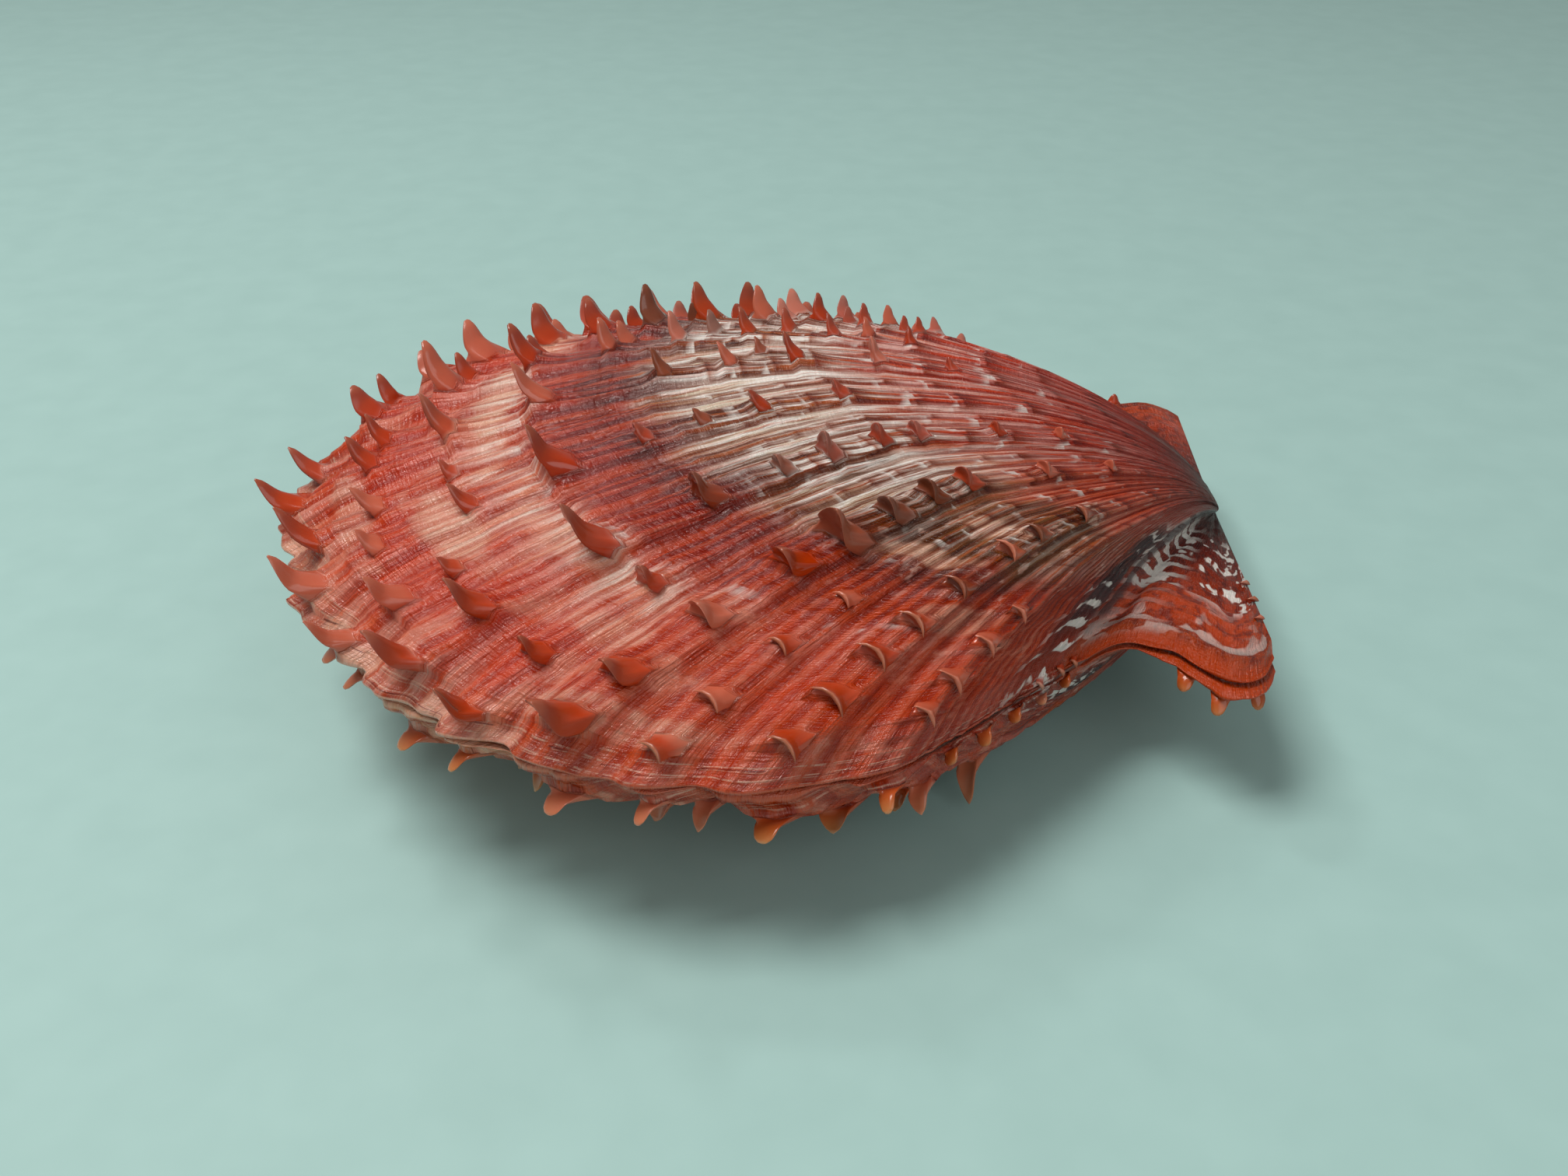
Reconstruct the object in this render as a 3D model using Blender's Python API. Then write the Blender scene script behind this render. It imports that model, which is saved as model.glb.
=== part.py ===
"""Spiny scallop shell, closed, resting on its flatter valve.

Two valves meet along a flat plane. Each valve is the surface that a scallop lays down as it grows:
every growth line is a smaller copy of the margin, turned about the hinge. Ribs fan out from the beak,
curved spines stand on the ribs, and an ear stands on each side of the beak along the straight hinge.

Metres, +Z up. The hinge runs along Y at the +X end, the free margin is at the -X end, and the larger
ear with the byssal notch is on the -Y side. The origin is under the middle of the box, on the ground.
"""
import math

import bmesh
import bpy
import numpy as np

# Driving dimensions, in metres
SHELL_LENGTH = 0.060
MEETING_GAP = 0.0003
MARGIN_THICKNESS = 0.0008
WALL = 0.0009
PRIMARY_RIB_HEIGHT = 0.0009
SECONDARY_RIB_HEIGHT = 0.0004

# Attitude at rest, in degrees: the margin stands higher than the beak
REST_PITCH = 3.3
REST_ROLL = -1.9

# Outline of the disc, in shell lengths: a rounded oval about a centre ahead of the beak
DISC_HALF_LENGTH = 0.408
DISC_HALF_WIDTH = 0.471
DISC_CENTRE_ACROSS = 0.051
DISC_SQUARENESS = 1.934
DISC_SLANT = math.radians(15.4)

# The ribs fan from the beak, in degrees from the middle line of the disc
FIRST_RIB = -38.85
RIB_STEP = 4.85
RIB_COUNT = 19
RIB_CREST_HALF_WIDTH = 0.95
# rib height follows the growth stage raised to this power
RIB_FADE = 0.7

# Margin of the ears and flanks from the hinge line inwards, in shell lengths from the beak (X, Y)
NEAR_EAR = ((0.0, -0.303), (-0.018, -0.340), (-0.050, -0.354), (-0.068, -0.335), (-0.095, -0.307),
            (-0.135, -0.293), (-0.168, -0.311))
NEAR_FLANK = ((-0.202, -0.349), (-0.262, -0.412), (-0.331, -0.488))
FAR_FLANK = ((-0.436, 0.336), (-0.345, 0.270), (-0.270, 0.215))
# how far each flank point belongs to the disc (1) and not to its ear (0)
NEAR_FLANK_SHARE = (0.8, 1.0, 1.0)
FAR_FLANK_SHARE = (1.0, 0.95, 0.6)
FAR_EAR = ((-0.240, 0.222), (-0.160, 0.258), (-0.060, 0.300), (-0.016, 0.292), (0.0, 0.272))
EAR_FLATNESS = 0.5
# the beak is swollen: its first growth lines are wider by this share, which dies away with the stage
UMBO_WIDENING = 0.9
UMBO_REACH = 0.075

# The space between the valves: its share of the disc, where it starts, and its mesh
HOLLOW_REACH = 0.97
HOLLOW_SIDE = 2.0
HOLLOW_START = 0.16
HOLLOW_COLUMNS = 20
HOLLOW_ROWS = 11
HOLLOW_FLOOR = -0.0018

# Growth lines kept in the surface, counted from the beak to the margin
GROWTH_ROWS = 19
FIRST_GROWTH = 0.035
# the valve's thickness at the beak, as a share of that at the margin
BEAK_THICKNESS = 0.5

# How far each valve has turned about the hinge: turning rate and how soon it dies away
UPPER_TURN = (0.568, 0.358)
LOWER_TURN = (0.440, 0.393)

# Growth stages at which each rib threw up a spine, as parts of the full length, by rib angle
UPPER_SPINES = {
    -38.85: (0.80, 0.88),
    -34.0: (0.46, 0.56, 0.62, 0.70, 0.82, 0.88, 0.95),
    -29.15: (0.74, 0.83, 0.92),
    -24.3: (0.42, 0.51, 0.60, 0.66, 0.73, 0.82, 0.90, 0.965),
    -19.45: (0.795, 0.91, 0.975),
    -14.6: (0.40, 0.48, 0.57, 0.63, 0.69, 0.785, 0.90, 0.96),
    -9.75: (0.93, 0.985),
    -4.9: (0.50, 0.58, 0.68, 0.77, 0.845, 0.91, 0.97),
    -0.05: (0.85, 0.93, 1.0),
    4.8: (0.37, 0.44, 0.515, 0.58, 0.645, 0.76, 0.835, 0.905),
    9.65: (0.86, 0.935, 1.0),
    14.5: (0.40, 0.48, 0.56, 0.63, 0.70, 0.775, 0.868, 0.95),
    19.35: (0.87, 0.96),
    24.2: (0.42, 0.50, 0.57, 0.64, 0.73, 0.82, 0.905, 0.97),
    29.05: (0.88, 0.96),
    33.9: (0.45, 0.53, 0.61, 0.70, 0.79, 0.87, 0.95),
    38.75: (0.85, 0.94),
    43.6: (0.52, 0.62, 0.72, 0.82, 0.92),
    48.45: (0.84, 0.93),
}
LOWER_SPINES = {
    -38.85: (0.86, 0.96),
    -34.0: (0.60, 0.76, 0.88, 0.975),
    -29.15: (0.88, 0.985),
    -24.3: (0.60, 0.75, 0.86, 0.97),
    -19.45: (0.90, 0.985),
    -14.6: (0.60, 0.74, 0.85, 0.97),
    -9.75: (0.90, 0.985),
    -4.9: (0.60, 0.75, 0.86, 0.975),
    -0.05: (0.90, 0.985),
    4.8: (0.60, 0.74, 0.85, 0.97),
    9.65: (0.90, 0.985),
    14.5: (0.60, 0.75, 0.86, 0.975),
    19.35: (0.90, 0.985),
    24.2: (0.60, 0.74, 0.86, 0.97),
    29.05: (0.90, 0.985),
    33.9: (0.60, 0.77, 0.90, 0.975),
    38.75: (0.92,),
    43.6: (0.72, 0.88, 0.97),
    48.45: (0.92,),
}
UPPER_SPINE_LENGTHS = (0.0013, 0.0048)
LOWER_SPINE_LENGTHS = (0.0010, 0.0026)

# The shell stands on the belly of the lower valve and on one row of longer spines
FOOT_STAGE = 0.60
FOOT_LENGTH = 0.0018
FOOT_LENGTH_GAIN = 0.0013
FOOT_MIDDLE_RIB = 6.5
FOOT_FAN = 22.0

# Rise of a spine's lower and upper half, and how wide its waist is against its foot
UPPER_SPINE_RISE = (math.radians(46.0), math.radians(82.0))
LOWER_SPINE_RISE = (math.radians(38.0), math.radians(66.0))
WAIST_SHARE = 0.55

# Faces that meet more sharply than this are shaded with an edge
SHARP_ANGLE = math.radians(50.0)

CORAL_RED = (0.60, 0.10, 0.06, 1.0)
SALMON = (0.62, 0.20, 0.12, 1.0)
UPPER_ROUGHNESS = 0.32
LOWER_ROUGHNESS = 0.36


def clear_scene():
    """Removes whatever the file holds."""
    for thing in list(bpy.data.objects):
        bpy.data.objects.remove(thing, do_unlink=True)


def disc_reach(angle):
    """Distance from the beak to the margin of the disc along each angle, in shell lengths.

    The margin is where |ahead / half length| ** n + |across / half width| ** n is 1, found by halving."""
    centre_ahead = 1.0 - DISC_HALF_LENGTH
    near = np.full(angle.shape, 0.3)
    far = np.full(angle.shape, 1.3)
    for _ in range(40):
        middle = (near + far) / 2
        ahead = np.abs((middle * np.cos(angle) - centre_ahead) / DISC_HALF_LENGTH)
        across = np.abs((middle * np.sin(angle) - DISC_CENTRE_ACROSS) / DISC_HALF_WIDTH)
        inside = ahead ** DISC_SQUARENESS + across ** DISC_SQUARENESS < 1.0
        near = np.where(inside, middle, near)
        far = np.where(inside, far, middle)
    return (near + far) / 2


def margin_columns():
    """The margin as columns: place (X, Y), share of disc in each, rib height and rib number."""
    ribs = FIRST_RIB + RIB_STEP * np.arange(RIB_COUNT)
    angles = []
    heights = []
    crests = []
    for number, rib in enumerate(ribs):
        primary = number % 2 == 1
        height = PRIMARY_RIB_HEIGHT if primary else SECONDARY_RIB_HEIGHT
        angles += [rib - RIB_CREST_HALF_WIDTH, rib + RIB_CREST_HALF_WIDTH]
        heights += [height, height]
        crests += [number, -1]
        if number < RIB_COUNT - 1:
            angles.append(rib + RIB_STEP / 2)
            heights.append(0.0)
            crests.append(-1)
    angles = np.radians(angles)
    reach = disc_reach(angles)
    turned = angles - DISC_SLANT
    disc = np.stack([-reach * np.cos(turned), reach * np.sin(turned)], axis=1)
    sides_before = len(NEAR_EAR) + len(NEAR_FLANK)
    sides_after = len(FAR_FLANK) + len(FAR_EAR)
    place = np.concatenate([NEAR_EAR, NEAR_FLANK, disc, FAR_FLANK, FAR_EAR])
    share = np.concatenate([np.zeros(len(NEAR_EAR)), NEAR_FLANK_SHARE, np.ones(len(disc)),
                            FAR_FLANK_SHARE, np.zeros(len(FAR_EAR))])
    rib_height = np.concatenate([np.zeros(sides_before), heights, np.zeros(sides_after)])
    crest = np.concatenate([np.full(sides_before, -1), crests, np.full(sides_after, -1)])
    return place, share, rib_height, crest.astype(int)


def growth_stages():
    """Growth stages from the first line near the beak to the margin."""
    return np.linspace(FIRST_GROWTH, 1.0, GROWTH_ROWS)


def grown_surface(place, share, stages, turn):
    """Every growth line: the margin shrunk by its stage and turned up about the hinge.

    turned angle = rate * (1 - stage ** fade) / fade. The disc turns about its own base line,
    the ears turn half as far about the hinge. Height is above the meeting plane, in metres."""
    rate, fade = turn
    disc_line = np.array([-math.cos(DISC_SLANT), -math.sin(DISC_SLANT)])
    hinge_line = np.array([-1.0, 0.0])
    lean = share[:, None] * disc_line + (1 - share[:, None]) * hinge_line
    lever = np.maximum((place * lean).sum(axis=1), 0.0)
    turned = rate * (1 - stages ** fade) / fade
    turned = turned[:, None] * (EAR_FLATNESS + (1 - EAR_FLATNESS) * share)[None, :]
    grow = stages[:, None]
    flat = grow[..., None] * place[None, :, :]
    flat = flat + (grow * lever * (np.cos(turned) - 1))[..., None] * lean[None, :, :]
    flat[..., 1] *= 1 + UMBO_WIDENING * np.exp(-grow / UMBO_REACH) * share
    height = grow * lever * np.sin(turned)
    return np.concatenate([flat, height[..., None]], axis=2) * SHELL_LENGTH


def surface_directions(grid):
    """Unit outward normal and unit growth direction at every point of a grid."""
    along = np.gradient(grid, axis=0)
    round_margin = np.gradient(grid, axis=1)
    normal = np.cross(round_margin, along)
    normal /= np.linalg.norm(normal, axis=2, keepdims=True)
    normal = np.where(normal[..., 2:] < 0, -normal, normal)
    along /= np.linalg.norm(along, axis=2, keepdims=True)
    return normal, along


def add_spine(points, faces, corners, normal, along, length, rise):
    """A curved thorn growing out of one four-sided patch of a rib crest: two halves, each rising more."""
    base = np.array([points[c] for c in corners])
    middle = base.mean(axis=0)
    bend = middle + length / 2 * (math.cos(rise[0]) * along + math.sin(rise[0]) * normal)
    tip = bend + length / 2 * (math.cos(rise[1]) * along + math.sin(rise[1]) * normal)
    waist = bend + WAIST_SHARE * (base - middle)
    first = len(points)
    points.extend(waist)
    points.append(tip)
    for k in range(4):
        after = (k + 1) % 4
        faces.append((corners[k], corners[after], first + after, first + k))
        faces.append((first + k, first + after, first + 4))


def spine_length(rib, station, limits, stands):
    """Spines lengthen as the shell grows. The row of feet follows the curve of the belly."""
    if stands and station == FOOT_STAGE:
        gain = FOOT_LENGTH_GAIN * ((rib - FOOT_MIDDLE_RIB) / FOOT_FAN) ** 2
        return FOOT_LENGTH + min(gain, FOOT_LENGTH_GAIN)
    return limits[0] + (limits[1] - limits[0]) * station ** 2


def valve_points(turn, spines, spine_limits, stands):
    """One valve as points and faces, opening downwards, with its flat underside not yet hollowed."""
    place, share, rib_height, crest = margin_columns()
    stages = growth_stages()
    grid = grown_surface(place, share, stages, turn)
    normal, along = surface_directions(grid)
    grid = grid + normal * (rib_height[None, :] * stages[:, None] ** RIB_FADE)[..., None]
    thickness = MARGIN_THICKNESS * (BEAK_THICKNESS + (1 - BEAK_THICKNESS) * stages[:, None])
    grid[..., 2] = np.maximum(grid[..., 2], 0.0) + thickness
    rows, columns = grid.shape[:2]
    points = list(grid.reshape(-1, 3))
    beak = len(points)
    points.append(np.array([0.0, 0.0, MARGIN_THICKNESS * BEAK_THICKNESS]))
    faces = []
    rib_of = {round(FIRST_RIB + RIB_STEP * n, 2): n for n in range(RIB_COUNT)}
    patches = {}
    for rib, stations in spines.items():
        column = int(np.flatnonzero(crest == rib_of[round(rib, 2)])[0])
        for station in stations:
            row = min(int(np.searchsorted(stages, station)) - 1, rows - 2)
            patches[(row, column)] = spine_length(rib, station, spine_limits, stands)
    for row in range(rows - 1):
        for column in range(columns - 1):
            a = row * columns + column
            corners = (a, a + 1, a + 1 + columns, a + columns)
            if (row, column) not in patches:
                faces.append(corners)
                continue
            add_spine(points, faces, corners, normal[row, column], along[row, column],
                      patches[(row, column)], LOWER_SPINE_RISE if stands else UPPER_SPINE_RISE)
    for column in range(columns - 1):
        faces.append((beak, column + 1, column))
    last_row = (rows - 1) * columns
    hinge_near = [row * columns for row in range(rows)]
    hinge_far = [row * columns + columns - 1 for row in range(rows)]
    border = [beak] + hinge_near + [last_row + c for c in range(1, columns - 1)] + hinge_far[::-1]
    under = len(points)
    points.extend(np.array([points[i][0], points[i][1], MEETING_GAP / 2]) for i in border)
    count = len(border)
    for k in range(count):
        after = (k + 1) % count
        faces.append((border[k], border[after], under + after, under + k))
    faces.append(tuple(range(under + count - 1, under - 1, -1)))
    return np.array(points), faces


def hollow_points(turn):
    """The space inside one valve: the disc again, drawn in by the wall, down through the underside."""
    last_rib = FIRST_RIB + RIB_STEP * (RIB_COUNT - 1)
    inner_angles = np.radians(np.linspace(FIRST_RIB + HOLLOW_SIDE, last_rib - HOLLOW_SIDE, HOLLOW_COLUMNS))
    reach = disc_reach(inner_angles) * HOLLOW_REACH
    turned = inner_angles - DISC_SLANT
    place = np.stack([-reach * np.cos(turned), reach * np.sin(turned)], axis=1)
    stages = np.linspace(HOLLOW_START, 1.0, HOLLOW_ROWS)
    grid = grown_surface(place, np.ones(len(place)), stages, turn)
    grid[..., 2] -= WALL
    rows, columns = grid.shape[:2]
    points = list(grid.reshape(-1, 3))
    faces = []
    for row in range(rows - 1):
        for column in range(columns - 1):
            a = row * columns + column
            faces.append((a, a + 1, a + 1 + columns, a + columns))
    top = list(range(columns))
    right = [r * columns + columns - 1 for r in range(1, rows)]
    bottom = [(rows - 1) * columns + c for c in range(columns - 2, -1, -1)]
    left = [r * columns for r in range(rows - 2, 0, -1)]
    border = top + right + bottom + left
    under = len(points)
    points.extend(np.array([points[i][0], points[i][1], HOLLOW_FLOOR]) for i in border)
    count = len(border)
    for k in range(count):
        after = (k + 1) % count
        faces.append((border[k], under + k, under + after, border[after]))
    faces.append(tuple(range(under, under + count)))
    return np.array(points), faces


def shell_material(name, colour, roughness):
    """Glossy shell in one colour."""
    material = bpy.data.materials.new(name)
    material.use_nodes = True
    shader = material.node_tree.nodes["Principled BSDF"]
    shader.inputs["Base Color"].default_value = colour
    shader.inputs["Roughness"].default_value = roughness
    shader.inputs["Metallic"].default_value = 0.0
    material.diffuse_color = colour
    return material


def add_object(name, points, faces, flip):
    """A closed mesh object with its faces pointing out, mirrored below the meeting plane if flipped."""
    if flip:
        points = points * np.array([1.0, 1.0, -1.0])
    mesh = bpy.data.meshes.new(name)
    mesh.from_pydata(points.tolist(), [], faces)
    body = bmesh.new()
    body.from_mesh(mesh)
    bmesh.ops.recalc_face_normals(body, faces=body.faces)
    body.to_mesh(mesh)
    body.free()
    mesh.update()
    thing = bpy.data.objects.new(name, mesh)
    bpy.context.scene.collection.objects.link(thing)
    return thing


def add_valve(name, turn, spines, spine_limits, material, flip):
    """One valve: the solid blank, and a cutter that hollows it out behind the meeting face."""
    points, faces = valve_points(turn, spines, spine_limits, flip)
    valve = add_object(name, points, faces, flip)
    valve.data.materials.append(material)
    valve.data.shade_smooth()
    valve.data.set_sharp_from_angle(angle=SHARP_ANGLE)
    inner_points, inner_faces = hollow_points(turn)
    cutter = add_object(name + "_hollow", inner_points, inner_faces, flip)
    cutter.hide_render = True
    cutter.display_type = "WIRE"
    hollow = valve.modifiers.new("hollow", "BOOLEAN")
    hollow.operation = "DIFFERENCE"
    hollow.solver = "EXACT"
    hollow.object = cutter
    return valve, cutter


def rest_on_ground(parts, valves):
    """Tilts everything to its attitude at rest and stands it on the ground, centred on the origin."""
    carrier = bpy.data.objects.new("rest_attitude", None)
    bpy.context.scene.collection.objects.link(carrier)
    carrier.rotation_euler = (math.radians(REST_ROLL), math.radians(REST_PITCH), 0.0)
    for part in parts:
        part.parent = carrier
    turn = np.array(carrier.rotation_euler.to_matrix())
    spread = [np.array([v.co for v in valve.data.vertices]) @ turn.T for valve in valves]
    spread = np.concatenate(spread)
    low = spread.min(axis=0)
    high = spread.max(axis=0)
    carrier.location = (-(low[0] + high[0]) / 2, -(low[1] + high[1]) / 2, -low[2])
    bpy.context.view_layer.update()


def main():
    """Builds both valves and stands the closed shell on the ground."""
    clear_scene()
    coral = shell_material("coral red shell", CORAL_RED, UPPER_ROUGHNESS)
    salmon = shell_material("salmon shell", SALMON, LOWER_ROUGHNESS)
    upper, upper_cutter = add_valve("upper_valve", UPPER_TURN, UPPER_SPINES, UPPER_SPINE_LENGTHS,
                                    coral, False)
    lower, lower_cutter = add_valve("lower_valve", LOWER_TURN, LOWER_SPINES, LOWER_SPINE_LENGTHS,
                                    salmon, True)
    rest_on_ground([upper, upper_cutter, lower, lower_cutter], [upper, lower])


main()
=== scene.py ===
# %% [markdown]
# # A spiny scallop shell
#
# This lesson dresses a closed scallop shell in Blender. The shell is two valves, each grown as one
# piece: ribs fan out from the beak, thorny spines stand on the ribs, and an ear stands on each side of
# the beak along the straight hinge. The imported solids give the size, the place and what MuJoCo feels.
# Here each valve gets the fine surface of the real one, and a procedural finish that follows the way a
# shell grows.

# %% The fixed frame
import functools
import math

import bpy
import numpy as np
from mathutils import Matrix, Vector


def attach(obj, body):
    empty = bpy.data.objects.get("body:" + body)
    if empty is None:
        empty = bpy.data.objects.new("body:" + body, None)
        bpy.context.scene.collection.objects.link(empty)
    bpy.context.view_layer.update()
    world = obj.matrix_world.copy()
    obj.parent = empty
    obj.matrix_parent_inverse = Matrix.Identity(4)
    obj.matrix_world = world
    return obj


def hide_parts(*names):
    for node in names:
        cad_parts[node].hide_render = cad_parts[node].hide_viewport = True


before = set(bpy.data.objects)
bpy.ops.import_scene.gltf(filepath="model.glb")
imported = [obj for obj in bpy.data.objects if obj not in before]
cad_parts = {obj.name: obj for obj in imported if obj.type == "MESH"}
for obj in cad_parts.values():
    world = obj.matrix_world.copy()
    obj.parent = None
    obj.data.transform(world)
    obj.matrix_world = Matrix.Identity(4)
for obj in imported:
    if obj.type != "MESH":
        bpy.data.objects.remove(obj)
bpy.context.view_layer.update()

# %% [markdown]
# ## Where the shell lies
#
# A scallop is easiest to describe in its own frame: the beak at the origin, the hinge along Y, the free
# margin towards -X, and Z up out of the plane where the valves meet. All lengths below are millimetres
# in that frame. At rest the shell leans a little, as it does on its own spines, so one turn and one
# shift carry every point to its place in the solids' frame.

# %% Size and attitude
MM = 0.001
SHELL_LENGTH = 60.0
BEAK_PLACE = np.array([30.704, 6.991, 7.549])
REST_ROLL = math.radians(-1.9)
REST_PITCH = math.radians(3.3)
MEETING_GAP = 0.3
MARGIN_THICKNESS = 0.8
WALL = 0.9


def lie_at_rest(points):
    """Shell frame to solids' frame: turned by the roll about X, then the pitch about Y, then shifted."""
    roll = np.array([[1, 0, 0],
                     [0, math.cos(REST_ROLL), -math.sin(REST_ROLL)],
                     [0, math.sin(REST_ROLL), math.cos(REST_ROLL)]])
    pitch = np.array([[math.cos(REST_PITCH), 0, math.sin(REST_PITCH)],
                      [0, 1, 0],
                      [-math.sin(REST_PITCH), 0, math.cos(REST_PITCH)]])
    return points @ (pitch @ roll).T + BEAK_PLACE


def ease(low, high, value):
    """0 below low, 1 above high, and the smooth step 3 t^2 - 2 t^3 between them."""
    t = np.clip((value - low) / (high - low), 0.0, 1.0)
    return t * t * (3 - 2 * t)


def ripples(u, v, seed, waves=9):
    """Soft unevenness, about -1 to 1: a sum of plane waves whose directions and starts a seed draws."""
    draw = np.random.default_rng(seed)
    total = np.zeros(np.broadcast(u, v).shape)
    for _ in range(waves):
        turn, start = draw.uniform(0, 2 * math.pi, 2)
        pace = draw.uniform(0.5, 1.8)
        total = total + np.sin(pace * (u * math.cos(turn) + v * math.sin(turn)) + start)
    return total / math.sqrt(waves)


# %% [markdown]
# ## The margin
#
# The margin is the newest growth line, and every older one is a smaller copy of it, so it is drawn
# first. It could be one freehand curve, but the disc of a scallop is so regular that a superellipse
# fits it: |ahead / half length|^n + |across / half width|^n = 1. Only the ears and flanks need points
# of their own, joined by a smooth curve. Along the margin each column carries its `fan`, which is its
# rib angle in degrees on the disc and simply runs on over the flanks and ears, and its `share`, which
# is 1 on the disc and 0 on an ear.

# %% Margin columns
DISC_HALF_LENGTH = 0.408
DISC_HALF_WIDTH = 0.471
DISC_CENTRE_ACROSS = 0.051
DISC_SQUARENESS = 1.934
DISC_SLANT = math.radians(15.4)
DISC_FAN = (-39.8, 49.4)
NEAR_HINGE_FAN = -72.0
FAR_HINGE_FAN = 82.0
# X, Y in shell lengths and share of the disc, from the hinge to the disc and from the disc to the hinge
NEAR_SIDE = ((0.0, -0.303, 0), (-0.018, -0.340, 0), (-0.050, -0.354, 0), (-0.068, -0.335, 0),
             (-0.095, -0.307, 0), (-0.135, -0.293, 0), (-0.168, -0.311, 0.05), (-0.202, -0.349, 0.8),
             (-0.262, -0.412, 1.0), (-0.331, -0.488, 1.0))
FAR_SIDE = ((-0.436, 0.336, 1.0), (-0.345, 0.270, 0.95), (-0.270, 0.215, 0.6), (-0.240, 0.222, 0),
            (-0.160, 0.258, 0), (-0.060, 0.300, 0), (-0.016, 0.292, 0), (0.0, 0.272, 0))
DISC_COLUMNS = 360
NEAR_COLUMNS = 76
FAR_COLUMNS = 56


def smooth_curve(points, count):
    """A curve through the points, read at even steps of its length.

    Between b and c, with neighbours a and d, it is the Catmull-Rom cubic of the share f:
    half of 2 b + (c - a) f + (2 a - 5 b + 4 c - d) f^2 + (3 b - a - 3 c + d) f^3."""
    points = np.asarray(points, float)
    ends = np.concatenate([2 * points[:1] - points[1:2], points, 2 * points[-1:] - points[-2:-1]])
    where = np.linspace(0, len(points) - 1, 60 * len(points))
    first = np.minimum(where.astype(int), len(points) - 2)
    f = (where - first)[:, None]
    a, b, c, d = (ends[first + step] for step in range(4))
    line = 0.5 * (2 * b + (c - a) * f + (2 * a - 5 * b + 4 * c - d) * f ** 2
                  + (3 * b - a - 3 * c + d) * f ** 3)
    length = np.concatenate([[0.0], np.cumsum(np.linalg.norm(np.diff(line[:, :2], axis=0), axis=1))])
    even = np.linspace(0, length[-1], count)
    return np.stack([np.interp(even, length, value) for value in line.T], axis=1)


def disc_reach(angle):
    """Distance from the beak to the superellipse along each angle, in shell lengths, by halving."""
    near = np.full(angle.shape, 0.3)
    far = np.full(angle.shape, 1.3)
    for _ in range(40):
        middle = (near + far) / 2
        ahead = np.abs((middle * np.cos(angle) - 1 + DISC_HALF_LENGTH) / DISC_HALF_LENGTH)
        across = np.abs((middle * np.sin(angle) - DISC_CENTRE_ACROSS) / DISC_HALF_WIDTH)
        inside = ahead ** DISC_SQUARENESS + across ** DISC_SQUARENESS < 1.0
        near = np.where(inside, middle, near)
        far = np.where(inside, far, middle)
    return near


def margin():
    """Place (X, Y), share of the disc and fan of every column, from the near hinge end to the far."""
    fan = np.linspace(*DISC_FAN, DISC_COLUMNS)
    angle = np.radians(fan)
    reach = disc_reach(angle)
    disc = np.stack([-reach * np.cos(angle - DISC_SLANT), reach * np.sin(angle - DISC_SLANT),
                     np.ones(DISC_COLUMNS)], axis=1)
    near = smooth_curve(NEAR_SIDE + (tuple(disc[0]),), NEAR_COLUMNS)
    far = smooth_curve((tuple(disc[-1]),) + FAR_SIDE, FAR_COLUMNS)
    near_fan = np.linspace(NEAR_HINGE_FAN, DISC_FAN[0], NEAR_COLUMNS)
    far_fan = np.linspace(DISC_FAN[1], FAR_HINGE_FAN, FAR_COLUMNS)
    columns = np.concatenate([near[:-1], disc, far[1:]])
    fan = np.concatenate([near_fan[:-1], fan, far_fan[1:]])
    return columns[:, :2], np.clip(columns[:, 2], 0, 1), fan


place, share, fan = margin()
print(len(fan), "columns round the margin")

# %% [markdown]
# ## Growth lines
#
# A valve lays down one growth line after another. Each is the margin at a smaller size, turned up about
# the hinge: turned angle = rate * (1 - stage^fade) / fade, where the stage is 1 at the free margin and
# near 0 at the beak. That one rule gives the dome of the disc and its curl at the beak. A lathe or a
# sculpted half egg would lack the slant and the true direction of growth, which every rib, scale and
# colour band follows, so the surface is worked out on a grid of stage and column. The ears turn half
# as far as the disc.

# %% The smooth valve
UPPER_TURN = (0.568, 0.358)
LOWER_TURN = (0.440, 0.393)
EAR_FLATNESS = 0.5
UMBO_WIDENING = 0.9
UMBO_REACH = 0.075
EDGE_ZONE = 0.93
stages = np.concatenate([np.linspace(0.015, 0.30, 17), np.linspace(0.30, EDGE_ZONE, 84)[1:],
                         np.linspace(EDGE_ZONE, 1.0, 22)[1:]])


def grown(stage, turn, columns=slice(None)):
    """Growth lines at these stages: the margin times the stage, its lever turned up about the hinge."""
    rate, fade = turn
    spot, disc = place[columns], share[columns]
    disc_line = np.array([-math.cos(DISC_SLANT), -math.sin(DISC_SLANT)])
    lean = disc[:, None] * disc_line + (1 - disc[:, None]) * np.array([-1.0, 0.0])
    lever = np.maximum((spot * lean).sum(axis=1), 0.0)
    turned = (rate * (1 - stage ** fade) / fade)[:, None] * (EAR_FLATNESS + (1 - EAR_FLATNESS) * disc)
    size = stage[:, None, None]
    flat = size * spot + size * (lever * (np.cos(turned) - 1))[..., None] * lean
    height = stage[:, None] * lever * np.sin(turned)
    flat[..., 1] *= 1 + UMBO_WIDENING * np.exp(-stage / UMBO_REACH)[:, None] * disc
    return np.concatenate([flat, height[..., None]], axis=2) * SHELL_LENGTH


def directions(grid):
    """Unit outward normal and unit growth direction, from the differences along the grid's two ways."""
    along = np.gradient(grid, axis=0)
    normal = np.cross(np.gradient(grid, axis=1), along)
    normal /= np.linalg.norm(normal, axis=2, keepdims=True)
    normal *= np.where(normal[..., 2:] < 0, -1.0, 1.0)
    along /= np.linalg.norm(along, axis=2, keepdims=True)
    return normal, along


print(len(stages), "growth lines, upper dome",
      round(float(grown(stages, UPPER_TURN)[..., 2].max()), 1), "mm high")

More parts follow.
